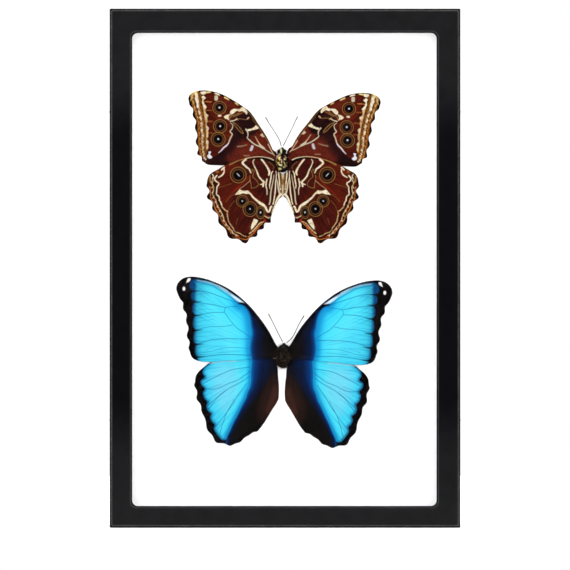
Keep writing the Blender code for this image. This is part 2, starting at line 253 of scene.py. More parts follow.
def spline_through(points, steps=5):
    """Points along a centripetal Catmull-Rom curve through the given points, steps to each span."""
    p = [np.array(q, float) for q in points]
    p = [2 * p[0] - p[1], *p, 2 * p[-1] - p[-2]]
    found = []
    for a, b, c, d in zip(p, p[1:], p[2:], p[3:]):
        t1 = math.sqrt(np.linalg.norm((b - a)[:2]))
        t2 = t1 + math.sqrt(np.linalg.norm((c - b)[:2]))
        t3 = t2 + math.sqrt(np.linalg.norm((d - c)[:2]))
        for t in np.linspace(t1, t2, steps, endpoint=False):
            ab = (t1 - t) / t1 * a + t / t1 * b
            bc = (t2 - t) / (t2 - t1) * b + (t - t1) / (t2 - t1) * c
            cd = (t3 - t) / (t3 - t2) * c + (t - t2) / (t3 - t2) * d
            abc = (t2 - t) / t2 * ab + t / t2 * bc
            bcd = (t3 - t) / (t3 - t1) * bc + (t - t1) / (t3 - t1) * cd
            found.append((t2 - t) / (t2 - t1) * abc + (t - t1) / (t2 - t1) * bcd)
    return np.array([*found, p[-2]])


def evenly(route, gap):
    """The points of a route spaced evenly, about gap apart."""
    along = np.concatenate(([0], np.cumsum(np.linalg.norm(np.diff(route, axis=0), axis=1))))
    places = np.linspace(0, along[-1], max(2, round(along[-1] / gap)) + 1)
    return np.column_stack([np.interp(places, along, route[:, i]) for i in range(route.shape[1])])


def ease(share):
    """Shares from 0 to 1 with a soft start and end."""
    t = np.clip(share, 0, 1)
    return t * t * (3 - 2 * t)


def fade(distance, edge, soft):
    """1 where distance is well under edge and 0 where it is well over, with a soft step between."""
    return ease((edge + soft - distance) / (2 * soft))


def distance_to_span(points, a, b):
    """Each point's distance to the straight span from a to b, and how far along it that is."""
    ab = b - a
    t = np.clip((points - a) @ ab / max(ab @ ab, 1e-12), 0, 1)
    return np.linalg.norm(points - a - t[:, None] * ab, axis=1), t


def distance_to_route(points, route):
    """Each point's distance to a route, and how far along the route it is, from 0 to 1."""
    best = np.full(len(points), 1e9)
    share = np.zeros(len(points))
    for i, (a, b) in enumerate(zip(route, route[1:])):
        d, t = distance_to_span(points, a, b)
        closer = d < best
        best[closer] = d[closer]
        share[closer] = (i + t[closer]) / (len(route) - 1)
    return best, share


def inside(points, outline):
    """True where a point is inside a closed outline."""
    x, z = points.T
    found = np.zeros(len(points), bool)
    for (ax, az), (bx, bz) in zip(outline, np.roll(outline, -1, axis=0)):
        crosses = (az > z) != (bz > z)
        if az != bz:
            found ^= crosses & (x < (bx - ax) * (z - az) / (bz - az) + ax)
    return found


# Marks, in one pigment each. A mark's reach is how far it spreads past its route.

SOFT_EDGE = 0.14


class Line:
    """A stroke along a route, whose width may be a list spread evenly along it."""

    def __init__(self, pigment, width, *route, soft=SOFT_EDGE, strength=1.0):
        self.pigment, self.soft, self.strength = pigment, soft, strength
        self.widths = np.atleast_1d(width).astype(float)
        self.route = spline_through(route)
        self.reach = self.widths.max() / 2 + soft

    def cover(self, points):
        d, share = distance_to_route(points, self.route)
        width = np.interp(share, np.linspace(0, 1, len(self.widths)), self.widths)
        return fade(d, width / 2, self.soft) * self.strength


class Patch:
    """A filled outline. A smooth one is rounded, and one that isn't keeps its corners."""

    def __init__(self, pigment, *outline, soft=SOFT_EDGE, strength=1.0, smooth=True):
        self.pigment, self.soft, self.strength = pigment, soft, strength
        closed = [*outline, outline[0]]
        self.route = spline_through(closed) if smooth else np.array(closed, float)
        self.reach = soft

    def cover(self, points):
        d, _ = distance_to_route(points, self.route)
        return fade(np.where(inside(points, self.route[:-1]), -d, d), 0, self.soft) * self.strength


class Ring:
    """A ring or, with no inner radius, a disc, stretched along Z by tall."""

    def __init__(self, pigment, centre, outer, inner=-1.0, tall=1.0, soft=SOFT_EDGE, strength=1.0):
        self.pigment, self.soft, self.strength = pigment, soft, strength
        self.outer, self.inner, self.tall = outer, inner, tall
        self.centre = np.array(centre, float)
        half = outer * max(tall, 1)
        self.route = np.array([self.centre - half, self.centre + half])
        self.reach = soft

    def cover(self, points):
        d = np.linalg.norm((points - self.centre) / (1, self.tall), axis=1)
        return fade(d, self.outer, self.soft) * (1 - fade(d, self.inner, self.soft)) * self.strength


def strokes(pigment, *drawn, **look):
    """Strokes of one pigment and look, each given as its width and then its route."""
    return [Line(pigment, width, *route, **look) for width, *route in drawn]


def dabs(pigment, *placed, **look):
    """Discs of one pigment and look, each given as x, z and radius."""
    return [Ring(pigment, (x, z), radius, **look) for x, z, radius in placed]


def eye_spot(x, z, size, pupil=0.45, tall=1.0, streak=None):
    """An eye spot: two ochre rings on dark brown round a black disc with a pale pupil."""
    yield Ring("ink", (x, z), size * 1.05, size * 0.45, tall, soft=0.25, strength=0.6)
    yield Ring("thread", (x, z), size, size * 0.91, tall, soft=0.16, strength=0.75)
    yield Ring("thread", (x, z), size * 0.73, size * 0.65, tall, soft=0.2, strength=0.4)
    yield Ring("black", (x, z), size * 0.55, tall=tall, soft=0.3)
    if streak:
        yield Line("pearl", [0.2, 0.4, 0.2], *streak, soft=0.25)
    else:
        yield Ring("pearl", (x, z + 0.1), pupil, tall=tall, soft=0.25)


def spaced(route, length):
    """Points a length apart along a route, with the directions along and across it at each."""
    points = evenly(spline_through(route, 12), length)
    ahead = np.gradient(points, axis=0)
    ahead /= np.linalg.norm(ahead, axis=1)[:, None]
    return points, ahead, np.column_stack((-ahead[:, 1], ahead[:, 0]))


def wavy(pigment, width, swing, length, *route, **look):
    """A stroke that swings from side to side along a route, once in each length."""
    points, _, across = spaced(route, length / 2)
    side = np.where(np.arange(len(points)) % 2, 0.5, -0.5) * swing
    return Line(pigment, width, *(points + across * side[:, None]), **look)


def ticks(pigment, width, reach, lean, length, *route, **look):
    """Short strokes across a route, a length apart and leaning along it."""
    for point, ahead, across in zip(*spaced(route, length)):
        half = across * reach / 2 + ahead * lean / 2
        yield Line(pigment, width, point - half, point + half, **look)


def paint(points, marks):
    """The share of each pigment at each point, from marks laid one over another of their kind."""
    laid = {}
    for mark in marks:
        low, high = mark.route.min(0) - mark.reach, mark.route.max(0) + mark.reach
        near = np.all((points > low) & (points < high), axis=1)
        layer = laid.setdefault(mark.pigment, np.zeros(len(points)))
        layer[near] = np.maximum(layer[near], mark.cover(points[near]))
    return laid


# Routes of the wavy bands along the upper butterfly's forewing margin, from its tip down.
OUTER_BAND = ((-53.2, 247.4), (-52.8, 244.3), (-52, 241), (-51, 237.5), (-50, 233.8), (-49.3, 230.5),
              (-49.3, 226.5), (-49, 222.5), (-48.9, 218.5), (-48.3, 214.5), (-47.8, 211.4))
MIDDLE_BAND = ((-49.9, 240.4), (-49.1, 238), (-48.3, 234.4), (-47.7, 231), (-47.6, 227.5), (-47, 224),
               (-47.3, 220.5), (-46.9, 216.5), (-46.4, 213), (-45.8, 210.6))
GOLD_BAND = ((-49.2, 248.6), (-48.7, 246), (-48.7, 243), (-48, 239), (-47.3, 235.6), (-46.5, 231.5),
             (-46.2, 228), (-45.9, 225), (-46.1, 221), (-45.9, 217.5), (-45.4, 214), (-45, 211.5))
UPPER_FOREWING_MARKS = [
    # The dark inner half and the reddish base.
    Patch("shade", (-31, 231), (-30, 224), (-33, 218), (-38, 213.5), (-44, 210), (-47, 206), (-30, 204),
          (-27, 212), (-24, 218), (-20, 222), (-14, 228), (-12, 232), (-21, 240), (-24, 236.5),
          (-29, 235.5), soft=1.0),
    Patch("russet", (-31, 208), (-33, 211), (-29, 215), (-25, 220.5), (-20, 221), (-14, 217), (-8, 213.5),
          (-6, 212), (-8, 206), (-20, 205), soft=3.0, strength=0.85),
    Patch("russet", (-21, 223.5), (-17, 224.5), (-13.5, 226.3), (-10, 221.5), (-6.5, 215), (-9, 214.5),
          (-15, 217.5), soft=0.9, strength=0.7),
    Patch("russet", (-34, 246), (-27, 241.5), (-30, 239.5), (-35, 242.5), (-40, 244.5), (-44, 246.5),
          soft=1.2, strength=0.6),
    Patch("shade", (-45, 237), (-43, 241.5), (-41, 236), (-42, 226), (-40, 214), (-44, 215), soft=1.5,
          strength=0.35),
    # Bands along the margin, from the edge inwards.
    *strokes("brown", (9.5, (-50, 246), (-49, 240), (-48.2, 236)),
             (6.6, (-48.2, 237), (-47.7, 230), (-47.5, 220), (-47.3, 215), (-46.8, 211.6)), soft=0.3),
    Line("gold", [1.9, 1.7, 1.5, 1.4, 1.2], *OUTER_BAND, soft=0.3, strength=0.9),
    wavy("orange", [0.9, 0.8, 0.7, 0.6], 0.7, 3.1, *OUTER_BAND, soft=0.25, strength=0.7),
    wavy("straw", 0.35, 0.5, 4.3, *OUTER_BAND[:5], soft=0.2, strength=0.6),
    *ticks("bark", 0.45, 1.4, -1.2, 3.0, *OUTER_BAND, soft=0.25, strength=0.9),
    Line("cream", [1.8, 2.1, 1.6, 1.3], (-50.6, 247.4), (-50.6, 245), (-50, 242.8), (-49.8, 240.2),
         soft=0.3),
    wavy("bark", 0.3, 0.6, 2.4, (-51.7, 247.2), (-51.7, 244.5), (-51.1, 242), (-50.4, 239.4), (-49.6, 236),
         soft=0.2),
    wavy("wheat", [1.3, 1.1, 1.2, 1.0, 0.9], 0.5, 3.5, *MIDDLE_BAND, soft=0.25),
    *ticks("cream", 0.8, 0.6, 0.9, 3.5, *MIDDLE_BAND, soft=0.25),
    *ticks("bark", 0.4, 1.9, -1.3, 3.5, (-50, 238.9), *MIDDLE_BAND[2:], soft=0.25, strength=0.9),
    wavy("bark", 1.9, 0.6, 3.6, *GOLD_BAND, soft=0.25, strength=0.35),
    wavy("gold", [0.9, 1.3, 1.2, 1.1, 1.0], 0.8, 3.6, *GOLD_BAND, soft=0.25),
    *ticks("bark", 0.4, 1.6, 1.2, 3.6, (-48.4, 242), *GOLD_BAND[3:], soft=0.25, strength=0.6),
    Patch("cream", (-48.3, 248.9), (-45.2, 249.1), (-45.4, 247.7), (-47.3, 247.3), (-48.2, 247.9)),
    Patch("cream", (-47.9, 246.2), (-46.6, 246.7), (-45.2, 245.4), (-46.8, 244), (-46.4, 242.3),
          (-44.8, 240.2), (-45.9, 239.4), (-46.9, 241), (-47.6, 243), (-47.2, 244.6), smooth=False,
          soft=0.25),
    Patch("wheat", (-47.2, 243), (-46.4, 242.3), (-44.8, 240.2), (-45.6, 238.2), (-45.2, 236.4),
          (-43.7, 235.3), (-44.5, 234.1), (-44.4, 232.5), (-44.6, 231.2), (-45, 230), (-43.5, 228.1),
          (-44, 226.6), (-43.9, 225), (-44, 223.2), (-44.7, 222), (-43.6, 220.1), (-44, 218.6),
          (-43.9, 216.9), (-44.8, 215), (-45.2, 216.5), (-45.2, 219), (-45.3, 222), (-45.1, 225),
          (-45.3, 228), (-45.5, 231), (-46, 234), (-46.4, 237), (-46.9, 240), smooth=False, soft=0.25),
    *(Patch("cream", (x - 0.7, z + 1.1), (x + 0.5, z), (x - 0.5, z - 1.3), soft=0.35, strength=0.8)
      for x, z in ((-44.6, 235.4), (-44.2, 228.2), (-44.4, 220.3))),
    Patch("pearl", (-43.9, 214.6), (-42.3, 214.7), (-42.9, 213), (-41.6, 211.6), (-42.5, 210.8),
          (-43.9, 211), (-44.4, 212.4), (-43.6, 213.4)),
    # The tip and the dashes along the front edge.
    Patch("straw", (-54.9, 246.8), (-53, 249), (-50.5, 250.3), (-49.6, 249), (-50.6, 248.2), (-51.4, 246.6),
          (-52, 247.6), (-53.2, 246.6), (-54, 247.2), soft=0.25),
    *strokes("straw", (0.9, (-44.6, 248.6), (-42.6, 248.9)), (0.8, (-34.5, 245.7), (-32.2, 244.5)),
             (0.8, (-28.3, 242.6), (-26.8, 241.5))),
    Line("cream", 0.8, (-40, 248.1), (-37.5, 247.2)),
    *strokes("black", (0.8, (-48.7, 250), (-45.5, 249.9), (-42, 249.6), (-38.8, 248.8)),
             (1.0, (-42.2, 249.2), (-40.4, 248.6)), (1.0, (-37, 247.4), (-34.9, 246.5)),
             (1.0, (-31.8, 245), (-28.8, 243.2)), (1.0, (-26.5, 241.9), (-24.9, 240.5)),
             (1.4, (-21, 237.9), (-17, 233.3), (-13, 227.5), (-9, 220.8), (-5, 213.5))),
    Line("thread", [0.25, 0.35, 0.35], (-21.7, 238.2), (-18.1, 233.9), (-14.5, 229.1), (-11.7, 225.1),
         (-9.1, 221), (-6.9, 217.4), (-5.4, 215.1), soft=0.12, strength=0.75),
    Line("thread", [0.2, 0.3, 0.35], (-18.8, 233.4), (-15.2, 228.6), (-12.4, 224.6), (-9.8, 220.5),
         (-7.6, 216.9), (-6.1, 214.6), soft=0.12, strength=0.6),
    Line("black", [0.3, 0.5, 0.5], (-18.4, 233.6), (-14.9, 228.9), (-12, 224.9), (-9.4, 220.7),
         (-7.2, 217.2), (-5.7, 214.8), soft=0.2, strength=0.8),
    Patch("shade", (-9.5, 213.2), (-6.5, 215.2), (-4, 213), (-3.5, 209), (-6.5, 209.5), (-8.5, 211.3),
          soft=0.8),
    # Black lobes along the outer edge.
    *(Line("black", 1.3, (x - 0.2, z + h), (x - 0.45, z), (x + 0.1, z - h), soft=0.2)
      for x, z, h in ((-54.8, 245.8, 1.2), (-53.9, 241.3, 1.5), (-52.1, 235.6, 1.6), (-50.8, 228.4, 2.0),
               (-50.3, 219.8, 2.0), (-49.4, 213.4, 1.8), (-47.3, 210.0, 0.8))),
    Line("black", 0.9, (-48, 210), (-46, 208.2), (-43, 207), (-38, 206.7), (-33, 206.9)),
    # Pale bars and patches of the middle.
    Patch("bone", (-40.2, 246.7), (-38.7, 246.8), (-38.4, 245), (-38.9, 244), (-40.2, 244.2), soft=0.3),
    Patch("cream", (-31.3, 236), (-31.4, 237.4), (-30.3, 238.7), (-28.8, 239.2), (-27, 239), (-25.3, 239.4),
          (-25, 240.3), (-23.2, 239.8), (-22, 238.4), (-21.5, 236.9), (-21.9, 236), (-23.2, 237.2),
          (-24.5, 238), (-26, 237.6), (-27.5, 238.1), (-29, 236.9), (-30.4, 236)),
    Patch("cream", (-35, 234.6), (-33.8, 235.5), (-31.4, 236), (-32.2, 234.7), (-32.3, 233.8), (-32, 232.6),
          (-33.1, 233.3), (-34, 233.5)),
    *strokes("ochre", (0.5, (-32, 232.8), (-31.4, 234.3), (-30.3, 235.6)),
             (0.4, (-30.6, 235.1), (-28.6, 235.7), (-26.3, 236.8)),
             (0.35, (-29.6, 234.6), (-27, 235.6), (-24.3, 237)), (0.8, (-27.9, 233.7), (-26.9, 233)),
             (0.35, (-30, 231.5), (-28, 230.5), (-26, 228.5), (-24.3, 226.2), (-24, 225), (-25.6, 226),
              (-27.6, 228.3), (-29.3, 230.4), (-30, 231.5))),
    Line("cream", [0.5, 0.4], (-31.3, 232.1), (-29.5, 232.4), (-27.4, 233.3)),
    Line("ochre", 0.35, (-26.6, 233.5), (-24, 233.3), (-22.3, 233), (-20.8, 234.1), strength=0.8),
    Line("rose", 0.7, (-21.5, 233.5), (-20.8, 234.1), soft=0.3),
    *strokes("bone",
             ([0.3, 0.5, 0.6, 0.6], (-31.2, 231.2), (-29.9, 229.7), (-30.2, 228), (-31.4, 226.1),
              (-30.2, 224.7), (-31.2, 222.5), (-32.4, 219.4)),
             ([0.9, 0.4, 0.7, 0.45, 0.4], (-22.3, 227.4), (-21.4, 226), (-21.2, 224), (-21.6, 222.7),
              (-20, 221), (-17.5, 219), (-14, 217.3), (-11.5, 215.9), (-8.5, 214), (-7, 213.3))),
    Line("lilac", [0.6, 0.8, 0.7, 0.3], (-32.6, 219.2), (-33.2, 218.4), (-35, 217), (-36.5, 215.3),
         (-38, 214)),
    Patch("cream", (-16.7, 229.8), (-15, 228.2), (-16.5, 227.5), (-18.5, 227), (-21, 226.5), (-21.5, 227.3),
          (-19, 227.9), (-17.5, 228.9)),
    *strokes("rose", ([0.3, 0.5, 0.6], (-17, 223.3), (-15.5, 220.5), (-14.4, 218.8)),
             (0.5, (-9.7, 219), (-8.4, 216.5), (-7.1, 213.9), (-6, 212.4))),
    Patch("bone", (-15, 219.6), (-13.2, 218.2), (-11.4, 216.5), (-12.6, 216.2), (-14.6, 217.8)),
    Patch("bone", (-14.2, 224.2), (-13, 225), (-12.4, 224), (-11.8, 223.3), (-12.8, 223.1), soft=0.3),
    Line("straw", 0.5, (-54, 247.2), (-53.4, 245.6), (-54, 243.9), soft=0.25, strength=0.7),
    Line("rose", [0.7, 0.5], (-27.2, 217.6), (-24.5, 217.9), (-22, 218.5), soft=0.35, strength=0.4),
    Patch("lilac", (-19.2, 218.3), (-18.1, 218.1), (-19, 215.2), (-20.2, 215.2), soft=0.2, strength=0.85),
    Line("rose", 0.6, (-23.4, 212.4), (-20.5, 212.3), soft=0.4, strength=0.4),
    Line("orange", 0.6, (-47, 243), (-45, 243.3), (-42.2, 243.1), soft=0.25, strength=0.8),
    Line("orange", 0.7, (-45.3, 238.4), (-42, 238.2), soft=0.3, strength=0.35),
    Line("orange", 0.8, (-44.2, 232), (-41.5, 232), soft=0.4, strength=0.35),
    Line("orange", 0.8, (-44.2, 225.5), (-41.8, 225.3), soft=0.4, strength=0.25),
    Line("cream", 0.9, (-37.9, 235.2), (-36.9, 235.3), soft=0.25),
    *eye_spot(-37.5, 239.8, 4.0, tall=0.96),
    *eye_spot(-37.1, 229.2, 4.0),
    *eye_spot(-38.2, 221.8, 4.2, tall=0.98),
]
UPPER_HINDWING_MARKS = [
    Patch("shade", (-10, 211), (-20, 211), (-24, 208), (-22, 204), (-20, 198), (-19, 193), (-14, 189),
          (-11, 185), (-8, 184), (-5, 188), (-2, 192), (-2, 201), (-6, 206), soft=1.5, strength=0.5),
    Patch("shade", (-27, 190), (-20, 191), (-14, 185), (-10, 180), (-8, 175), (-20, 165), (-29, 170),
          (-31, 178), (-30, 186), soft=2.5, strength=0.4),
    # Stripes that run back from the front edge and the root.
    Line("ochre", [0.9, 0.7, 0.6], (-31.5, 207.3), (-30, 208), (-27.5, 209.2), (-25, 210.1),
         (-22.5, 210.8)),
    Line("rose", [0.6, 0.6, 0.7], (-22.5, 210.8), (-20, 211.3), (-17, 211.7), (-14, 211.8), (-12, 211.5),
         (-9, 211), (-7, 210.3)),
    Line("bone", [0.1, 0.5, 0.6], (-16, 211.8), (-13, 211.7), (-9, 211), (-6.6, 209.9), soft=0.2),
    Patch("shade", (-11, 211), (-7, 210.6), (-4, 208), (-4, 203.5), (-6, 204), (-8, 207.6), soft=0.8),
    Line("black", [0.4, 0.7, 1.4, 0.8], (-22, 210), (-17, 210.9), (-13, 210.9), (-9.5, 209.9),
         (-6.3, 208.5)),
    *strokes("cream",
             ([1.1, 1.0, 0.95, 0.7, 0.5], (-22.3, 210.2), (-23.6, 209.3), (-24.3, 208.2), (-23.2, 206.9),
              (-21.6, 205.5), (-20.4, 204.6), (-20, 203.5), (-19.5, 202.5)),
             ([0.4, 0.5, 0.8, 0.7], (-17.6, 210.2), (-18.3, 209), (-17.9, 207.3), (-17.1, 205.5),
              (-16.3, 204), (-15.8, 202.5), (-15, 200.5), (-13.8, 199), (-12.7, 197.8)),
             (0.9, (-12.5, 197.9), (-12.3, 197.2), (-12.4, 196), (-12.6, 194.8)),
             ([0.4, 0.8, 0.4], (-14.1, 195.8), (-12.5, 196.3), (-11.4, 197.4)),
             ([0.9, 0.85, 0.9, 1.15, 0.8], (-13.4, 210.2), (-12, 208.5), (-10.8, 206.8), (-10, 205.5),
              (-9.2, 204), (-8.9, 202.8), (-9.3, 201.3)),
             ([0.6, 0.7, 0.5, 0.3], (-10.3, 199), (-10.8, 196.5), (-10.9, 195), (-10.4, 193.3),
              (-10.3, 190)),
             ([0.4, 0.7, 0.7, 0.35], (-7, 203.5), (-7.8, 202), (-8, 200), (-8.4, 197.5), (-8.8, 195.3),
              (-8.6, 193.5)),
             ([0.35, 0.6, 0.65, 0.5], (-3.6, 203.2), (-3.4, 200), (-3.1, 196.5), (-2.6, 193)),
             ([0.3, 0.55, 0.65, 0.6], (-5.1, 203.5), (-5, 200), (-5.3, 198), (-5.4, 195), (-5.6, 192),
              (-6, 189), (-6.5, 186), (-6.9, 184.5)),
             ([1.2, 1.2, 1.0, 1.0, 0.7], (-2.3, 190.2), (-3.3, 189.3), (-4.2, 187.8), (-4.9, 186.2),
              (-5.3, 185), (-6, 183), (-6.8, 181), (-7.3, 179.5))),
    *strokes("bone",
             ([0.3, 0.5, 0.6, 0.7, 0.6], (-6.3, 201.3), (-6.6, 199), (-7, 197), (-7.5, 194.5), (-8, 192),
              (-8.3, 189), (-8.5, 186.5), (-9, 184.5)),
             ([0.4, 0.7, 1.0, 1.1], (-4.9, 199.5), (-4.3, 197), (-3.9, 194.5), (-3.4, 192), (-2.9, 190.2))),
    Ring("black", (-6.9, 183.7), 0.6),
    Line("ochre", 1.6, (-2, 203.4), (-1.9, 198), (-1.8, 193), (-1.8, 190), soft=0.3, strength=0.8),
    Line("bark", 0.5, (-2.5, 203.4), (-2.4, 198), (-2.6, 194), soft=0.25, strength=0.9),
    *strokes("bone", ([0.8, 0.6, 0.3], (-1.7, 203.4), (-1.6, 201), (-1.3, 199)),
             ([0.3, 0.7, 0.7], (-1.5, 195.5), (-1.3, 193), (-1.2, 190.5)), soft=0.25),
    Line("olive", 0.45, (-9.3, 208.8), (-8.3, 208), (-7, 206.8), (-6.3, 205.8), (-6.8, 204.8)),
    Line("bone", [0.5, 0.9, 0.5], (-3.9, 202.3), (-3.6, 201), (-3.5, 199.8), strength=0.7),
    # The zigzag cream band across the middle.
    Patch("cream", (-28.6, 190), (-26, 193), (-24, 192.2), (-21, 192.4), (-20.4, 190.7), (-22, 190.5),
          (-24, 190.9), (-26, 190.2), smooth=False, soft=0.2),
    Line("cream", [0.8, 0.9, 1.1, 1.6, 1.2, 1.0, 0.95, 0.9], (-20.8, 191.5), (-19.3, 190), (-18.3, 188.6),
         (-17, 187.5), (-15.5, 186.2), (-14.6, 185.5), (-13.7, 184.9), (-12.5, 184.2), (-11.3, 183.2),
         (-10.7, 181.8), (-10, 180.5), (-9.3, 180.2), (-8.6, 181.5), (-8.1, 183), (-7.3, 183.4)),
    Line("ochre", 0.35, (-20, 201), (-20.1, 199), (-19.6, 197), (-19.3, 195), (-19.3, 194)),
    Line("ochre", 0.35, (-19.2, 193.8), (-17.5, 194), (-16, 194.8), (-15.2, 195.7), (-15.7, 197.3),
         (-17, 199), (-18.3, 200), (-18.3, 201.5), (-17.8, 202.8), (-17.5, 204), strength=0.8),
    Ring("olive", (-18.8, 204), 0.8, soft=0.3),
    # Rays.
    Line("red", [0.3, 0.6, 0.4], (-36, 186), (-30, 191), (-25, 196), (-21, 200), soft=0.4, strength=0.3),
    *strokes("ochre", (0.4, (-38.9, 193.6), (-35, 195), (-31, 196.3)),
             (0.4, (-34, 186), (-30, 189.8), (-28, 190.4)), soft=0.25, strength=0.45),
    Line("rose", 0.4, (-20, 198), (-23, 195.4), (-26, 193.3), soft=0.25, strength=0.5),
    *strokes("ochre", (0.4, (-32.5, 181), (-31, 184), (-29, 186.5)), (0.4, (-27, 176.5), (-28, 173)),
             (0.4, (-20, 172), (-19.8, 168)), soft=0.3, strength=0.35),
    # Bands along the margin, from the inside outwards.
    Line("brown", 4.6, (-42, 200), (-41.3, 195), (-41.2, 190), (-39.5, 185), (-37, 180), (-34.5, 175.5),
         (-31.5, 170.5), (-28, 167), (-24, 165.5), (-20.5, 166), (-17, 169), (-14, 172.5), (-11, 175.5),
         soft=0.4),
    Line("ink", 0.5, (-41.2, 199), (-39.8, 196), (-39.8, 191), (-38.9, 187.3), (-37.8, 184.5), (-36, 181),
         (-34.2, 177.5), (-32.9, 174), (-30.4, 170.5), (-27.5, 167.7), (-24, 166.4), soft=0.2,
         strength=0.8),
    *strokes("cream",
             ([0.7, 0.6, 0.6, 0.6], (-39, 201), (-39.8, 200), (-40.3, 199), (-39.5, 197.8), (-38.3, 197),
              (-37.9, 196.6), (-38, 195.8), (-38.9, 194.5), (-39, 193.2), (-39.2, 191), (-39.3, 190.3),
              (-38, 189.2), (-37.5, 187.8), (-37.5, 186.8), (-36.8, 185.8), (-36.3, 184.3)),
             (0.9, (-36.2, 204.3), (-35.6, 205), (-34.8, 205.6)),
             ([0.6, 0.8, 0.6], (-35, 205.2), (-34.8, 203.5), (-35.3, 202), (-36.5, 200.8), (-38, 200))),
    Line("wheat", [0.6, 0.6, 0.5, 0.5], (-36.3, 184.5), (-35.9, 183), (-35, 182), (-34, 181),
         (-32.9, 180.5), (-33, 179.5), (-32.9, 178), (-32.6, 176.5), (-32.3, 175), (-31.5, 173.5),
         (-30.7, 172.3), (-29.8, 171.2), (-29, 169.3), (-28.2, 168.6), (-27, 168.3), (-25.5, 167.7),
         (-24.5, 166.9), (-23, 166.3), (-22.3, 166.1), strength=0.85),
    *strokes("wheat",
             ([0.6, 0.4, 0.6, 0.4, 0.5], (-41.8, 197.5), (-41.5, 195.8), (-41, 195), (-40.8, 193.5),
              (-41.3, 191.5), (-41.3, 190), (-40.6, 188.5), (-39.7, 187.2), (-39.3, 186), (-39, 184.5),
              (-38.2, 183), (-37.5, 181.5), (-36.5, 180), (-35.8, 178.5), (-35.3, 177.3), (-35.2, 176),
              (-34.5, 174.5), (-33.5, 173), (-32.5, 171.8), (-31.5, 170.5), (-30.5, 169.3), (-29.8, 168.3),
              (-29, 167.5), (-28, 166.9), (-27, 166.5)),
             (0.65, (-20.3, 167.8), (-19, 168.8), (-17.5, 170.2), (-16, 171.9), (-15, 173.2),
              (-13.5, 174.2), (-12.3, 174.5))),
    *strokes("orange",
             ([0.6, 0.35, 0.6, 0.35, 0.55, 0.35, 0.5], (-43, 194.5), (-42.8, 193), (-42.6, 191.5),
              (-42.3, 187.7), (-41.3, 186.2), (-40.8, 185), (-40.2, 183), (-39.3, 181), (-38.3, 179.5),
              (-37.3, 178), (-36.5, 176), (-35.6, 174.5), (-34.8, 173.2), (-33.5, 171.5), (-32, 169.8),
              (-31, 168.5), (-31.3, 167), (-30.5, 166), (-29, 165.7), (-27.5, 165.3), (-24.5, 164.7),
              (-22, 164.4), (-20.4, 165.5)),
             (0.5, (-21, 166), (-19.5, 166.8), (-18, 168), (-17, 169.5), (-15.5, 171), (-14.5, 172.3),
              (-13, 173.5))),
    *ticks("bark", 0.4, 1.6, 2.2, 2.9, (-42, 195.5), (-41.6, 190), (-39.6, 185.2), (-37.4, 180.4),
           (-35.6, 175.6), (-32, 170.2), (-28.6, 166.4), (-24.4, 165.6), soft=0.25, strength=0.65),
    *ticks("cream", 0.4, 0.9, -1.0, 2.9, (-41.5, 194.4), (-41, 189), (-39, 184.4), (-36.6, 179.5),
           (-34.8, 174.8), (-31, 169.6), (-28, 166.7), soft=0.2, strength=0.8),
    *(Line("red", 0.7, (x - 0.4, z + 0.7), (x + 0.4, z - 0.7), soft=0.3, strength=0.8)
      for x, z in ((-40.0, 187.0), (-38.4, 182.4), (-34.3, 174.6), (-31.4, 170.1), (-26.6, 166.2),
                   (-17.9, 168.9), (-15.4, 171.4), (-11.5, 175.2))),
    Ring("orange", (-38.6, 203), 0.9, soft=0.4, strength=0.55),
    Line("cream", [0.4, 0.6, 0.4], (-41.6, 201.8), (-40.9, 200.6), (-41.3, 199.2), (-41, 197.8), soft=0.2),
    Line("bark", 0.5, (-40.6, 202.8), (-39, 201.9), (-37.6, 202.6), soft=0.25),
    Line("ochre", 1.1, (-43.2, 200.7), (-42.8, 199), (-42.5, 197.3), soft=0.25),
    *strokes("black", (0.8, (-44.4, 199.6), (-43.4, 201.4), (-42, 202.5)),
             (0.8, (-39.6, 204), (-37.4, 205.4)), (1.1, (-9.6, 179.1), (-7.4, 178.4)),
             (1.1, (-9, 176), (-8, 174.6)), soft=0.2),
    *(Line("black", w, (x0, z0), ((x0 + x1) / 2 - 0.15, (z0 + z1) / 2), (x1, z1), soft=0.2)
      for x0, z0, x1, z1, w in ((-44.5, 197, -44.6, 194, 1.2), (-43.9, 190.4, -43.6, 186.9, 1.2),
                (-41.7, 184, -40.2, 180.3, 1.1), (-38.6, 179, -38.3, 178.2, 0.7),
                (-37.7, 176.3, -36, 171.5, 1.1), (-33.3, 170.1, -32.8, 169.4, 0.7),
                (-32, 168.2, -29.9, 164.7, 1.1), (-26.3, 164.4, -25.6, 164.2, 0.7),
                (-24.3, 163.7, -21, 163.4, 1.1), (-20.2, 164.3, -19.6, 164.7, 0.7),
                (-18.3, 165.9, -16.2, 167.2, 1.0), (-15.2, 169.4, -12.6, 171.6, 1.0),
                (-11.2, 172.4, -8.9, 174.1, 1.0))),
    Patch("cream", (-17.7, 176.3), (-16.5, 175.9), (-15.4, 175.3), (-16.3, 173.5), (-17.8, 171.5),
          (-19.3, 170), (-19.4, 171.8), (-18.7, 174), smooth=False, soft=0.2),
    Line("rose", 0.6, (-11.9, 178), (-10.5, 177.2), (-9.2, 176.6)),
    Ring("bone", (-8.9, 176.7), 0.7, 0.3, strength=0.6),
    *eye_spot(-26.7, 201.3, 4.7, streak=((-27.5, 202.2), (-26.7, 201.4), (-26, 200.6))),
    *eye_spot(-24.4, 186.3, 3.5, pupil=0.34),
    *eye_spot(-20, 181.8, 4.2, pupil=0.34, tall=1.05),
    *eye_spot(-14, 179.8, 2.6, pupil=0.34, tall=1.4),
]

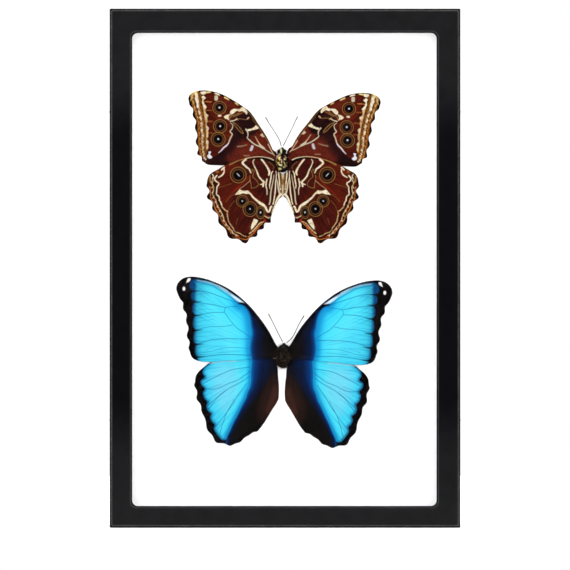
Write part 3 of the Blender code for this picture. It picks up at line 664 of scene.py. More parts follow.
# Where the lower butterfly's blue starts beside its body, and all that it covers.
FOREWING_BLUE_START = ((-23, 125.8), (-20.8, 122.5), (-19.8, 119), (-19.3, 115), (-18.7, 111), (-19.5, 106),
                       (-19.8, 102), (-19.5, 98.5), (-19, 94))
LOWER_FOREWING_BLUE = Patch("blue", (-26, 127.6), *FOREWING_BLUE_START, (-30, 93), (-49, 93.5), (-50.4, 97),
                            (-51.3, 100), (-51.2, 104.3), (-52, 106), (-52, 109), (-51.5, 112.4),
                            (-52.4, 115), (-52.4, 118), (-51.7, 120.9), (-52.8, 123.5), (-52.9, 126),
                            (-52.1, 128.6), (-53.4, 130.5), (-53.6, 132.8), (-53, 134.8), (-54.3, 136.6),
                            (-54.4, 138.5), (-53.6, 140.4), (-52.6, 141.4), (-48, 141.3), (-43, 140.3),
                            (-38, 138.3), (-34.5, 136.4), (-31, 134), (-28, 131.6), (-25.2, 129),
                            (-25.6, 128), soft=0.6)
LOWER_FOREWING_MARKS = [
    Line("deep_blue", [2.5, 1.2, 0.5], (-52.5, 141.2), (-47, 140.6), (-41, 139.6), soft=0.8, strength=0.7),
    Line("deep_blue", [8, 6, 3, 1.5, 1], (-54.4, 140), (-54, 134), (-53.2, 128), (-52.6, 120), (-51.6, 104),
         (-50.5, 97), soft=2.6, strength=1.0),
    Line("deep_blue", [14, 11, 6, 4, 4], (-54, 140), (-53.6, 134), (-53, 128), (-52.6, 112), (-50.5, 97),
         soft=8, strength=0.45),
    Patch("pale", (-44, 116), (-40, 122), (-34, 119), (-26, 112), (-24, 105), (-30, 99), (-44, 99), soft=4,
          strength=0.025),
    Line("pale", [0.3, 0.5, 0.8, 1.0], (-50, 141), (-45, 140.2), (-40, 138.6), (-36.5, 137), (-33, 135),
         soft=0.4, strength=0.5),
    Line("pale", [0.4, 0.9, 1.3], (-37.5, 136.8), (-33.5, 134.7), (-30, 132.5), soft=0.5, strength=0.45),
    Line("pale", [0.6, 1.5, 1.4, 0.3], (-31, 133), (-28.4, 131.1), (-26.2, 129.5), (-23.5, 128.3),
         soft=0.4),
    Line("dark_vein", 0.3, (-21, 126.6), (-25, 129.9), (-30, 133.6), (-35, 136.9), (-41, 139.7), soft=0.2),
    Line("dark_vein", 1.2, (-26.3, 127.9), (-23.5, 127.6), (-20, 124.5), (-17, 120), soft=0.5),
    Patch("white", (-56.5, 139.6), (-55.3, 142.2), (-54, 142), (-54.6, 140.6), soft=0.2),
    Ring("white", (-57.8, 136.3), 0.75, tall=1.45, soft=0.2),
    *strokes("vein",
             (0.3, (-6, 98.8), (-18, 107.3), (-24, 111.6), (-27, 113.5), (-31, 117.8), (-34.7, 122.8)),
             (0.3, (-34.7, 123), (-34, 125.3), (-27, 126.3)),
             (0.35, (-35, 122.7), (-42, 122.6), (-51, 121)),
             (0.35, (-34, 125.5), (-42, 127.3), (-53, 128.7)),
             (0.35, (-27, 128), (-35, 131), (-45, 134.5), (-53, 135)),
             (0.35, (-26.5, 128), (-35, 134), (-43, 138.4), (-52, 140.3)),
             (0.3, (-30, 115.6), (-35, 114.7), (-44, 114.4), (-51.5, 112.5)),
             (0.35, (-20, 107.5), (-40, 107.4), (-51, 104.5)),
             (0.4, (-6, 98.9), (-20, 98.3), (-35, 98.7), (-50, 97))),
    Line("vein", 0.25, (-20, 102), (-24, 102.5), (-34, 102.6), (-43, 100.3), (-50, 99.5), strength=0.8),
    *(Line("dark_vein", [1.8, 0.9, 0.2], (x - 1, z), (x + 1.2, z), (x + 4, z + 0.2), soft=0.45)
      for x, z in ((-53, 134.9), (-52, 128.7), (-51.6, 121), (-51.4, 112.5), (-51, 104.4), (-50, 97.2))),
    *(Line("vein", [0.35, 0.25, 0.1], (x, z), (x + 5, z + b), (x + 12, z + c), soft=0.25, strength=0.55)
      for x, z, b, c in ((-52.5, 137.5, 1.2, 0.6), (-53, 131.7, 1.8, 1.6), (-52.6, 125.6, 1.4, 1.2),
                         (-52.4, 123.6, 0.9, 0.9), (-52.4, 118.8, 1.2, 2.0), (-52.3, 116.6, 1.3, 2.2),
                         (-52, 114.6, 0.7, 1.2), (-52, 110.6, 0.7, 1.6), (-52, 108.6, 0.5, 0.9),
                         (-51.3, 106.0, 0.5, 0.7), (-50.8, 102.5, 0.8, 1.6), (-50.4, 98.4, 0.4, 0.8),
                         (-49.5, 95.6, 0.3, 0.4), (-45, 101.5, 1.6, 2.4), (-38, 99.8, 0.3, 0.8))),
]
HINDWING_BLUE_START = ((-19, 91.5), (-19.3, 88), (-19.3, 84), (-20, 80), (-21.3, 77), (-22.5, 73.5),
                       (-24, 70.5), (-26, 66.5), (-28, 62.5), (-30, 58.5), (-31.5, 55), (-33, 52))
LOWER_HINDWING_BLUE = Patch("blue", (-18.5, 98), (-30, 98), (-40, 96), (-46.5, 90.5), (-47.2, 88),
                            (-46, 85.8), (-48.2, 83.5), (-47.7, 81), (-46, 79), (-47, 76.5), (-46, 73.3),
                            (-44.5, 71.6), (-45, 69), (-44.1, 66.3), (-42.3, 64.8), (-42.8, 62.5),
                            (-41.7, 60), (-40.4, 58.6), (-40.7, 56), (-39, 53), (-37.4, 51), (-36, 49.7),
                            (-34, 50), *HINDWING_BLUE_START[::-1])
LOWER_HINDWING_MARKS = [
    Line("pale", [0.4, 1.2, 1.0, 0.4], (-43, 93.6), (-39, 94.6), (-34, 94.9), (-28, 95), soft=0.6,
         strength=0.7),
    Patch("pale", (-42, 88), (-38, 92), (-30, 92), (-27, 84), (-30, 72), (-35, 66), (-40, 74), soft=4,
          strength=0.16),
    Patch("fold", (-5, 88), (-9, 85), (-12.5, 78), (-15.5, 70), (-15.5, 63), (-12, 60), (-8, 62), (-3, 74),
          soft=2.2),
    Patch("rust", (-4, 82), (-6.5, 80), (-10, 71), (-11.5, 65.5), (-9, 65), (-5.5, 70), (-3.5, 76),
          soft=1.8, strength=0.75),
    *(Line("vein", [0.3, 0.25, 0.1], (x, z), (x + 4, z + b), (x + 10, z + c), soft=0.25, strength=0.55)
      for x, z, b, c in ((-46.5, 89.5, 1.2, 1.6), (-46.8, 84, 1.6, 3.6), (-47, 77.5, 1.9, 4.2),
                         (-46, 75, 2.6, 6), (-44.6, 71.5, 3.2, 7.6), (-44.5, 67, 3.6, 8),
                         (-42.5, 62, 4.2, 9.4), (-41.3, 59.5, 4.6, 11), (-39.5, 55, 4.8, 11),
                         (-36.5, 51, 5.2, 13))),
    *strokes("vein", (0.35, (-20, 91.5), (-30, 90), (-34, 88.5), (-40, 85.7), (-47, 82)),
             (0.35, (-20, 89), (-27, 84), (-32, 82.2), (-39, 79), (-46, 79)),
             (0.35, (-20.5, 86), (-26, 82.5), (-33, 78.7), (-38, 75), (-44.5, 69)),
             (0.3, (-33, 78.7), (-39, 73.5), (-43.5, 67.5)),
             (0.35, (-22, 82), (-27, 75), (-30, 70), (-36, 62), (-40, 57)),
             (0.35, (-29, 73), (-33, 66), (-35, 61), (-37.5, 53))),
    *strokes("dark_vein", (0.35, (-12, 92), (-14, 80), (-17, 66), (-20, 56)),
             (0.3, (-8, 90), (-8.5, 78), (-12, 64))),
]


# Wings.

WING_GAP = 0.26
WING_THICKNESS = 0.43
MIRROR_X = -1.0

# Each kind of wing: the depth of its layer, how its right wing sits (turned by degrees round a
# point, then moved) against the left wing's mirror image, where scale fringes widen it towards the
# body (low z, high z, from x, widening), and how strongly its lobed outer edge is drawn out.
WINGS = {
    "upper_butterfly_forewing": {
        "depth": 5.7, "mirror": (5.0, (0, 222), (-0.3, 2.5)), "fringe": ((206, 216, -8, 1.3),), "lobes": 0.9,
        "edge": ((-54.4, 243), (-52.5, 235.5), (-51.3, 228.3), (-50.8, 220), (-49.8, 213.4), (-48.4, 211)),
    },
    "upper_butterfly_hindwing": {
        "depth": 4.9, "mirror": (0.2, (0, 200), (-0.5, 0.1)),
        "fringe": ((187.5, 204.5, -4.2, 1.1), (203, 211, -7, 1.2)), "lobes": 1.0,
        "edge": ((-44.6, 197), (-44.1, 188.7), (-41.2, 182), (-37.5, 174), (-31.6, 165.7), (-22.6, 162.8),
                 (-16.6, 166.6), (-12.6, 170.9), (-8.7, 174.6)),
    },
    "lower_butterfly_forewing": {
        "depth": 4.9, "mirror": (2.5, (2, 118), (0.5, 0)), "fringe": ((95, 104, -7, 0.6),), "lobes": 0.7,
        "edge": ((-60.3, 131), (-58.1, 125), (-56.4, 117.8), (-55.9, 109.3), (-55.0, 102)),
    },
    "lower_butterfly_hindwing": {
        "depth": 5.7, "mirror": (1.35, (5, 94), (-1.2, -0.7)), "fringe": ((93, 99, -8, 0.9),), "lobes": 0.8,
        "edge": ((-51.8, 84), (-50.3, 73.3), (-47.6, 66), (-44.3, 55.6), (-39.2, 48.6), (-33, 47)),
    },
}
BROWN_PIGMENTS = {
    "brown": (64, 20, 6), "shade": (36, 13, 14), "russet": (105, 37, 24), "gold": (144, 84, 20),
    "orange": (200, 124, 58), "olive": (112, 78, 42), "ochre": (158, 116, 64), "red": (200, 48, 26),
    "wheat": (222, 184, 130), "rose": (214, 166, 126), "straw": (238, 216, 140), "bone": (206, 192, 162),
    "lilac": (220, 210, 216), "cream": (244, 232, 202), "bark": (82, 40, 12), "black": (12, 8, 8),
    "ink": (14, 9, 10), "thread": (166, 122, 64), "pearl": (228, 230, 242),
}
FLECKED = {
    "cream": (216, 182, 126), "orange": (136, 70, 28), "brown": (38, 11, 5), "russet": (72, 22, 14),
    "straw": (206, 166, 84), "wheat": (156, 102, 48), "rose": (216, 190, 154), "ochre": (116, 80, 42),
    "gold": (104, 52, 10),
}
BLUE_PIGMENTS = ("blue", "deep_blue", "fold", "rust", "vein", "dark_vein", "pale", "white")
PIGMENTS = {"brown_wing": tuple(BROWN_PIGMENTS), "blue_wing": BLUE_PIGMENTS}


def cad_outline(node):
    """The outline of a flat CAD wing seen from the front, in millimetres."""
    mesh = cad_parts[node].data
    spots = np.array([v.co for v in mesh.vertices]) / MM
    edges = {}
    for face in mesh.polygons:
        if face.normal.y < -0.9:
            ids = [tuple(np.round(spots[i][[0, 2]], 3)) for i in face.vertices]
            for a, b in zip(ids, ids[1:] + ids[:1]):
                if (b, a) in edges:
                    del edges[b, a]
                else:
                    edges[a, b] = True
    following = dict(edges.keys())
    start = next(iter(following))
    outline = [start]
    while following[outline[-1]] != start:
        outline.append(following[outline[-1]])
    return np.array(outline)


def on_left_wing(points, mirror):
    """A wing's points where its marks are laid out: a right wing's are carried back to the left one."""
    if not mirror:
        return points
    turn, pivot, shift = mirror
    x, z = (points - pivot - shift).T
    c, s = math.cos(math.radians(turn)), math.sin(math.radians(turn))
    there = np.column_stack((x * c - z * s, z * c + x * s)) + pivot
    return np.column_stack((2 * MIRROR_X - there[:, 0], there[:, 1]))


def lattice(outline):
    """Points inside an outline on an even triangular lattice."""
    low, high = outline.min(0), outline.max(0)
    rows = np.arange(low[1], high[1], WING_GAP * 0.866)
    columns = np.arange(low[0], high[0], WING_GAP)
    x, z = np.meshgrid(columns, rows)
    x[1::2] += WING_GAP / 2
    spots = np.column_stack((x.ravel(), z.ravel()))
    return spots[inside(spots, outline)]


def edge_distance(points, outline, farthest=3):
    """Each point's distance to a closed outline, measured only up to the farthest that matters."""
    best = np.full(len(points), 1e9)
    for a, b in zip(outline, np.roll(outline, -1, axis=0)):
        near = np.all(np.abs(points - (a + b) / 2) < farthest, axis=1)
        d, _ = distance_to_span(points[near], a, b)
        best[near] = np.minimum(best[near], d)
    return np.minimum(best, farthest)


def smoothed(outline):
    """A closed outline averaged over five millimetres each way, which wipes out its lobes."""
    span = round(5.0 / WING_GAP)
    return sum(np.roll(outline, k, axis=0) for k in range(-span, span + 1)) / (2 * span + 1)


def deepen_lobes(outline, kind, mirror):
    """Draws the notches of the outer edge in, and its lobes out, where the wing's edge is lobed."""
    d, _ = distance_to_route(on_left_wing(outline, mirror), np.array(kind["edge"], float))
    weight = fade(d, 2.5, 1.5)[:, None]
    level = smoothed(outline)
    level += level - smoothed(level)
    return outline + weight * kind["lobes"] * (outline - level)


def fill_inwards(outline, kind, mirror):
    """Widens a wing where its scale fringe reaches in towards the body."""
    template = on_left_wing(outline, mirror)
    side = -1 if mirror else 1
    for low, high, start, widening in kind["fringe"]:
        level = np.clip((template[:, 1] - low) / 1.5, 0, 1) * np.clip((high - template[:, 1]) / 1.5, 0, 1)
        share = np.clip((template[:, 0] - start) / 1.2, 0, 1) * level
        outline = outline + np.column_stack((side * widening * share, np.zeros(len(outline))))
    return outline


def wing_outline(node, kind, mirror):
    """A wing's outline, with the lobes and the fringe that its flat solid leaves out."""
    corners = cad_outline(node)
    outline = evenly(spline_through([*corners, corners[0]], 3), WING_GAP)[:-1]
    return fill_inwards(deepen_lobes(outline, kind, mirror), kind, mirror)


def triangles(points, count):
    """Triangles between points, the first count of which go round an outline."""
    rim = [(i, (i + 1) % count) for i in range(count)]
    found, _, faces, _, _, _ = delaunay_2d_cdt([Vector(p) for p in points.tolist()], rim, [], 1, 1e-7, False)
    return np.array([tuple(p) for p in found]), faces


def within(faces, points, outline):
    """The faces whose middles are inside an outline."""
    middles = points[np.array(faces)].mean(axis=1)
    return [tuple(face) for face, kept in zip(faces, inside(middles, outline)) if kept]


def signed_area(outline):
    x, z = outline.T
    return (x * np.roll(z, -1) - z * np.roll(x, -1)).sum() / 2


def wing_height(template, reach, laid):
    """How far each point of a wing stands in front of its flat layer: its sway, round rim and veins."""
    sway = np.array([noise.noise(Vector((x * 0.09, z * 0.09, 0))) for x, z in template])
    height = 0.05 * sway
    height -= 0.16 * np.clip(1 - reach / 0.45, 0, 1) ** 2
    if "vein" in laid:
        height += 0.07 * laid["vein"]
    return height


def make_wing(node, kind, marks, finish, slot, measure, mirror=None):
    """A thin wing with raised veins and a rounded rim, whose vertices carry the shares of its pigments."""
    outline = wing_outline(node, kind, mirror)
    spots = lattice(outline)
    reach = edge_distance(spots, outline)
    clear = reach > WING_GAP * 0.5
    count = len(outline)
    flat, faces = triangles(np.vstack((outline, spots[clear])), count)
    faces = within(faces, flat, outline)
    _, back_faces = triangles(outline, count)
    back_faces = within(back_faces, outline, outline)
    total = len(flat)
    template = on_left_wing(flat, mirror)
    laid = paint(template, marks)
    height = wing_height(template, np.concatenate((np.zeros(count), reach[clear])), laid)
    front = np.column_stack((flat[:, 0], kind["depth"] - height, flat[:, 1]))
    back = np.column_stack((outline[:, 0], np.full(count, kind["depth"] + WING_THICKNESS), outline[:, 1]))
    faces += [tuple(total + i for i in reversed(face)) for face in back_faces]
    anticlockwise = signed_area(outline) > 0
    for i in range(count):
        j = (i + 1) % count
        faces.append((j, i, total + i, total + j) if anticlockwise else (i, j, total + j, total + i))
    made = piece("wing_" + node, np.vstack((front, back)), faces, finish, slot, node)
    shares = {name: laid.get(name, np.zeros(total)) for name in PIGMENTS[slot]}
    backed = {name: np.zeros(count) for name in shares}
    for name, values in measure(template).items():
        shares[name] = values
        backed[name] = values[:count]
    write_shares(made.data, {name: np.concatenate((shares[name], backed[name])) for name in shares})


def angle_round(root, points):
    """Each point's angle round the wing's root, in degrees."""
    x, z = (points - root).T
    return np.degrees(np.arctan2(z, x)) % 360


def fan_measure(root):
    """Measures each point's angle round the wing's root, and its distance from it."""

    def measure(template):
        away = np.linalg.norm(template - root, axis=1)
        return {"round_root": angle_round(root, template), "from_root": away}

    return measure


def blue_depths(boundary, cover, root, sink, rise):
    """Measures how far each point is past the blue's inner boundary and in from its outer edge.

    The sink and the rise give, by height, how fast the blue darkens and brightens from there.
    """
    route = spline_through(boundary)
    beyond = np.vstack((route, [(-90, route[-1, 1]), (-90, route[0, 1])]))

    def measure(template):
        level = template[:, 1]
        away, _ = distance_to_route(template, route)
        risen, sunk = away * np.interp(level, *rise), -away * np.interp(level, *sink)
        deep, _ = distance_to_route(template, cover.route)
        deep = np.where(inside(template, cover.route[:-1]), deep, 0)
        return {"inward": np.where(inside(template, beyond), risen, sunk), "deep": np.minimum(deep, 8),
                "round_root": angle_round(root, template)}

    return measure


def brown_wing_finish():
    """The matt underside: painted scales over reddish brown, with rays that fan from the root."""
    finish = Finish("brown_wing_scales", Roughness=0.6, Specular_IOR_Level=0.03)
    scales = finish.grain(0.22, 2.0)
    cloud = finish.grain(4.0, 4.0)
    rays = finish.rays(finish.attribute("round_root") * 0.35, finish.attribute("from_root") * 0.05)
    colour = finish.mix(rays.step(0.3, 0.72), painted(58, 13, 7), painted(104, 31, 14))
    colour = finish.mix(cloud.step(0.42, 0.7) * 0.45, colour, painted(66, 20, 12))
    fleck = finish.grain(1.3, 3.0).step(0.44, 0.66) * 0.8
    for name, shown in BROWN_PIGMENTS.items():
        pigment = painted(*shown)
        if name in FLECKED:
            pigment = finish.mix(fleck, pigment, painted(*FLECKED[name]))
        colour = finish.mix(finish.attribute(name), colour, pigment)
    finish.colour(finish.mix((scales - 0.5) * 0.4 + 0.08, colour, BLACK))
    finish.relief(scales, 0.02, 0.15)
    return finish


def shining_blue(finish, inward, streaks):
    """The blue by its depth, from the black at the body to the bright middle of the wing."""
    return finish.ramp(
        (inward + (streaks - 0.5) * 2.6 + 10) / 34,
        (0.0, painted(18, 14, 13)),
        (0.07, painted(16, 16, 24)),
        (0.21, painted(8, 27, 62)),
        (0.265, painted(4, 52, 114)),
        (0.3, painted(12, 104, 176)),
        (0.34, painted(20, 144, 212)),
        (0.39, painted(34, 172, 226)),
        (0.45, painted(54, 207, 243)),
        (0.55, painted(70, 224, 250)),
        (0.8, painted(84, 228, 248)),
        (1.0, painted(70, 218, 245)),
    )


def blue_wing_finish():
    """The upper side: blue that shines through the middle and sinks to black at the body."""
    finish = Finish("blue_wing_scales", Roughness=0.5, Specular_IOR_Level=0.04)
    inward, deep = finish.attribute("inward"), finish.attribute("deep")
    cover, well_in = finish.attribute("blue"), inward.step(1.0, 5.0)
    streaks = finish.rays(finish.attribute("round_root") * 1.1, inward * 0.03)
    blue = shining_blue(finish, inward, streaks)
    rim = (1 - (deep + (streaks - 0.5) * 4).step(0.0, 3.8)) * 0.6
    blue = finish.mix(rim * cover, blue, painted(24, 158, 212))
    blue = finish.mix(streaks.step(0.46, 0.72) * 0.5 * well_in, blue, painted(24, 146, 202))
    edge = (1 - (deep + (streaks - 0.5) * 2).step(0.0, 1.8)) * well_in
    edge = edge.maths("MAXIMUM", edge * 0.85, finish.attribute("deep_blue") * (streaks * 1.4 + 0.5))
    blue = finish.mix(edge, blue, painted(10, 62, 112))
    colour = finish.mix(1 - (1 - cover) * inward.step(-0.4, 0.5), painted(17, 12, 12), blue)
    vein = finish.mix(inward.step(-3.0, 1.0), painted(34, 24, 20), painted(8, 92, 158))
    for name, share, pigment in (
        ("fold", 1.0, painted(38, 24, 20)), ("rust", 1.0, painted(66, 37, 29)),
        ("pale", 0.95, painted(222, 240, 250)), ("vein", 0.85, vein),
        ("dark_vein", 0.9, painted(16, 13, 14)), ("white", 1.0, painted(250, 250, 250)),
    ):
        colour = finish.mix(finish.attribute(name) * share, colour, pigment)
    finish.colour(colour)
    finish.relief(finish.grain(0.25, 2.0), 0.02, 0.15)
    return finish


def blue_measures():
    """The measures of the lower butterfly's forewings and of its hindwings."""
    forewing = [(-25.8, 165), (-25.8, 135), (-25.8, 127.6), *FOREWING_BLUE_START, (-19, 80)]
    hindwing = [(-18, 112), (-18.5, 99), *HINDWING_BLUE_START, (-34, 46), (-35, 40)]
    return (
        blue_depths(forewing, LOWER_FOREWING_BLUE, (-3, 100), ((105, 112, 120, 128), (1, 1.05, 2, 3)),
                    ((95, 103, 112), (1.6, 1.5, 1.1))),
        blue_depths(hindwing, LOWER_HINDWING_BLUE, (-3, 97),
                    ((57, 70, 79, 86, 94), (3, 1.7, 1, 0.62, 0.55)), ((57, 70, 85, 98), (3.2, 3, 2.4, 1.8))),
    )


def make_wings():
    """Paints and builds the eight wings."""
    brown, blue = brown_wing_finish(), blue_wing_finish()
    forewing_blue, hindwing_blue = blue_measures()
    for name, marks, finish, slot, measure in (
        ("upper_butterfly_forewing", UPPER_FOREWING_MARKS, brown, "brown_wing", fan_measure((-3, 209))),
        ("upper_butterfly_hindwing", UPPER_HINDWING_MARKS, brown, "brown_wing", fan_measure((-4, 207))),
        ("lower_butterfly_forewing", [LOWER_FOREWING_BLUE, *LOWER_FOREWING_MARKS], blue, "blue_wing",
         forewing_blue),
        ("lower_butterfly_hindwing", [LOWER_HINDWING_BLUE, *LOWER_HINDWING_MARKS], blue, "blue_wing",
         hindwing_blue),
    ):
        kind = WINGS[name]
        make_wing(name + "_left", kind, marks, finish, slot, measure)
        make_wing(name + "_right", kind, marks, finish, slot, measure, kind["mirror"])


# The box.

# How wide the lid's front is left, right, below and above the window.
RIMS = (12.8, 13.5, 12.3, 13.8)


def ring(insets, radius, depth, arc=6, across=60, along=90):
    """Points round a rounded rectangle set in from the box's left, right, bottom and top sides."""
    left, right, bottom, top = insets
    x0, x1 = left - BOX_WIDTH / 2, BOX_WIDTH / 2 - right
    z0, z1 = bottom, BOX_HEIGHT - top
    corners = ((x1 - radius, z0 + radius, -90), (x1 - radius, z1 - radius, 0),
               (x0 + radius, z1 - radius, 90), (x0 + radius, z0 + radius, 180))
    found = []
    for k, (cx, cz, start) in enumerate(corners):
        bend = [math.radians(start + 90 * i / arc) for i in range(arc + 1)]
        turn = [(cx + radius * math.cos(a), cz + radius * math.sin(a)) for a in bend]
        nx, nz, next_start = corners[(k + 1) % 4]
        a = math.radians(next_start)
        after = (nx + radius * math.cos(a), nz + radius * math.sin(a))
        steps = (along, across)[k % 2]
        way = np.array(after) - turn[-1]
        found += turn + [tuple(np.array(turn[-1]) + way * i / steps) for i in range(1, steps)]
    return np.array([(x, depth, z) for x, z in found])


def paper_finish(name):
    """Black embossed paper with a dark lip of painted shade, a pale painted highlight line, painted sheen at
    the ends and rubbed edges.
    """
    finish = Finish(name, Specular_IOR_Level=0.035)
    fibre = finish.grain(0.6, 4.0, roughness=0.65)
    cloud = finish.grain(7.0, 4.0)
    # Painted sheen: the paper is coloured lighter towards the top and bottom of the box, standing for the
    # reflection of the lights above and below.
    from_middle = finish.axis(finish.place(), "Z") - BOX_HEIGHT / 2
    painted_sheen_at_ends = from_middle.maths("ABSOLUTE", from_middle).step(72.0, 112.0)
    colour = finish.mix(painted_sheen_at_ends, screen_colour(5, 5, 7), screen_colour(17, 17, 18))
    colour = finish.mix((fibre.step(0.35, 0.75) * 0.6 + cloud.step(0.4, 0.7) * 0.4) * 0.4, colour, BLACK)
    # Painted shade: the rounded edges and the window's cut edge are coloured near black, standing for the
    # shade where the paper turns away from the light.
    colour = finish.mix(finish.attribute("lip"), colour, screen_colour(2, 2, 2))
    # Painted highlight: a pale line beside the dark edges, standing for light caught where the paper rounds
    # over.
    line = finish.attribute("fold_line") * (finish.grain(5.0, 3.0) * 0.7 + 0.15)
    colour = finish.mix(line, colour, screen_colour(74, 74, 74))
    worn = finish.attribute("edge") * finish.grain(1.6, 5.0).step(0.5, 0.64)
    colour = finish.mix(worn * 0.12, colour, screen_colour(120, 118, 115))
    finish.colour(colour)
    finish.roughness(fibre * 0.1 + 0.2 + finish.attribute("lip") * 0.5)
    finish.relief(fibre, 0.012, 0.8)
    return finish


def loft(name, rows, finish, node, closed=False):
    """Skins rounded rectangles: (insets, corner radius, depth, how worn, how much painted edge shade, how
    much painted edge highlight) each.
    """
    rings = [ring(insets, radius, depth) for insets, radius, depth, *_ in rows]
    count = len(rings[0])
    faces = rings_to_faces(len(rings), count, closed)
    if not closed:
        last = (len(rings) - 1) * count
        faces += [tuple(range(last, last + count)), tuple(reversed(range(count)))]
    made = piece(name, np.vstack(rings), faces, finish, "black_card", node)
    shares = np.repeat([row[3:] for row in rows], count, axis=0)
    write_shares(made.data, dict(zip(("edge", "lip", "fold_line"), shares.T)))
    made.data.set_sharp_from_angle(angle=math.radians(50))


def make_lid(finish):
    """The paper over the lid: round the window, over the front face and round the sides."""
    rim, none = np.array(RIMS), np.zeros(4)
    # The window's cut edge and the rounded outer edge take painted shade, with a pale painted highlight line
    # beside each.
    rows = [
        (rim, 3.2, 1.5, 0, 1, 0), (rim, 3.2, 0.9, 0, 1, 0), (rim - 0.02, 3.2, 0.5, 0, 1, 0),
        (rim - 0.15, 3.3, 0.22, 0.2, 1, 0), (rim - 0.4, 3.4, 0.08, 0, 1, 0),
        (rim - 0.7, 3.6, 0.02, 0, 0.9, 0), (rim - 0.85, 3.6, 0.0, 0, 0, 0.6),
        (rim - 1.05, 3.7, 0.0, 0, 0, 0.6), (rim - 1.3, 3.8, 0.0, 0, 0, 0),
    ]
    for t in np.linspace(0.15, 0.95, 7):
        rows.append((rim * (1 - t) + t * 1.2, 3.8 * (1 - t) + 0.7 * t, 0, 0, 0, 0))
    rows += [
        (none + 1.5, 0.7, 0, 0, 0, 0), (none + 1.3, 0.7, 0, 0.1, 0, 1), (none + 1.05, 0.7, 0, 0.1, 0, 1),
        (none + 0.95, 0.6, 0.01, 0.2, 0.9, 0), (none + 0.6, 0.6, 0.06, 0.3, 1, 0),
        (none + 0.25, 0.5, 0.22, 0.5, 1, 0), (none + 0.06, 0.5, 0.45, 0.8, 0.8, 0),
        (none, 0.5, 0.8, 0.5, 0.5, 0), (none, 0.5, 1.4, 0, 0, 0),
    ]
    rows += [(none, 0.5, d, 0, 0, 0) for d in (3.0, 7.0, 11.0, 15.0, 19.0, 22.5)]
    rows += [
        (none, 0.5, 23.8, 0.6, 0, 0), (none + 0.12, 0.5, 24.08, 0.9, 0, 0),
        (none + 0.4, 0.4, 24.2, 0.8, 0, 0), (none + 1.1, 0.3, 24.2, 0.6, 0, 0),
        (none + 1.4, 0.25, 24.1, 0.5, 0, 0), (none + 1.5, 0.25, 23.8, 0.2, 0, 0),
        (none + 1.5, 0.25, 12.0, 0, 0, 0), (none + 1.5, 0.25, 1.6, 0, 0, 0),
        (none + 1.7, 0.25, 1.5, 0, 0, 0), (rim - 0.5, 3.2, 1.5, 0, 1, 0),
    ]
    loft("lid_paper", rows, finish, "lid", closed=True)


def make_tray(finish):
    """The paper over the tray: up inside its walls, round their front edge and over the back."""
    side = np.zeros(4) + 1.9
    rows = [
        (side + 1.5, 0.3, 21.0, 0, 0, 0), (side + 1.5, 0.3, 12.0, 0, 0, 0), (side + 1.5, 0.3, 4.4, 0, 0, 0),
        (side + 1.2, 0.3, 4.1, 0.4, 0, 0), (side + 0.4, 0.4, 4.1, 0.6, 0, 0),
        (side + 0.1, 0.5, 4.2, 0.8, 0, 0), (side, 0.5, 4.5, 0.5, 0, 0), (side, 0.5, 12.0, 0, 0, 0),
        (side, 0.5, 24.5, 0.4, 0, 0),
        (side + 0.12, 0.5, 24.88, 1, 0, 0), (side + 0.45, 0.5, 25.0, 0.6, 0, 0),
        (side + 1.2, 0.5, 25.0, 0, 0, 0), (side + 14.0, 0.5, 25.0, 0, 0, 0),
        # A pale painted highlight and painted shade along the step in the back paper.
        (side + 14.15, 0.5, 24.96, 0.1, 0.3, 1), (side + 14.3, 0.5, 24.9, 0, 0.8, 0),
        (side + 15.0, 0.5, 24.9, 0, 0, 0), (side + 60.0, 0.5, 24.9, 0, 0, 0),
    ]
    loft("tray_paper", rows, finish, "base_tray")


def glass_finish():
    finish = Finish("clear_glass_pane", Transmission_Weight=1.0, Roughness=0.0, IOR=1.26)
    finish.colour((1.0, 1.0, 1.0))
    return finish


def dress_glass():
    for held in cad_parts["glass_pane"].material_slots:
        held.material = glass_finish().material


def lathe(name, profile, centre, axis, finish, slot, node, sides=32):
    """A turned piece from a profile of (radius, height) along an axis, both ends on the axis."""
    axis = Vector(axis).normalized()
    across = axis.orthogonal().normalized()
    other = axis.cross(across)
    points = [Vector(centre) + axis * profile[0][1]]
    for r, h in profile[1:-1]:
        points += [Vector(centre) + axis * h + (across * c + other * s) * r for c, s in around(sides)]
    points.append(Vector(centre) + axis * profile[-1][1])
    rings = len(profile) - 2
    faces = [tuple(1 + i for i in face) for face in rings_to_faces(rings, sides)]
    faces += [(0, 1 + (k + 1) % sides, 1 + k) for k in range(sides)]
    last = 1 + (rings - 1) * sides
    faces += [(last + k, last + (k + 1) % sides, last + sides) for k in range(sides)]
    piece(name, [tuple(p) for p in points], faces, finish, slot, node)


PIN_PROFILE = [
    (0, 0.8), (0.3, 0.78), (0.6, 0.7), (0.85, 0.55), (1.0, 0.36), (1.09, 0.16), (1.1, 0.08), (1.05, 0.02),
    (0.9, 0.0), (0.36, 0.0), (0.35, -0.2), (0.35, -8.0), (0.12, -9.1), (0, -9.3),
]
PIN_HEAD_X = 100.3
PIN_DEPTH = 14.5


def make_pins():
    """The four pins through the lid's sides."""
    finish = Finish("pin_steel_worn", Metallic=1.0)
    scratch = finish.grain(0.25, 3.0, where=finish.stretched(4.0, 1.0, 1.0))
    finish.colour(finish.mix(scratch, screen_colour(120, 120, 122), screen_colour(190, 190, 192)))
    finish.roughness(scratch * 0.2 + 0.22)
    for side, side_name in ((-1, "left"), (1, "right")):
        for height, level in ((60.5, "lower"), (238.0, "upper")):
            name = f"side_pin_{side_name}_{level}"
            centre = (side * PIN_HEAD_X, PIN_DEPTH, height)
            lathe("turned_" + name, PIN_PROFILE, centre, (side, 0, 0), finish, "pin_steel", name)


# The wadding.

PAD_HALF_WIDTH = 96.3
PAD_LOW, PAD_HIGH = 3.7, 292.3
PAD_GAP = 1.2
PAD_FRONT = 6.7
PAD_MIDDLE = 16.0
PAD_BACK = 22.6
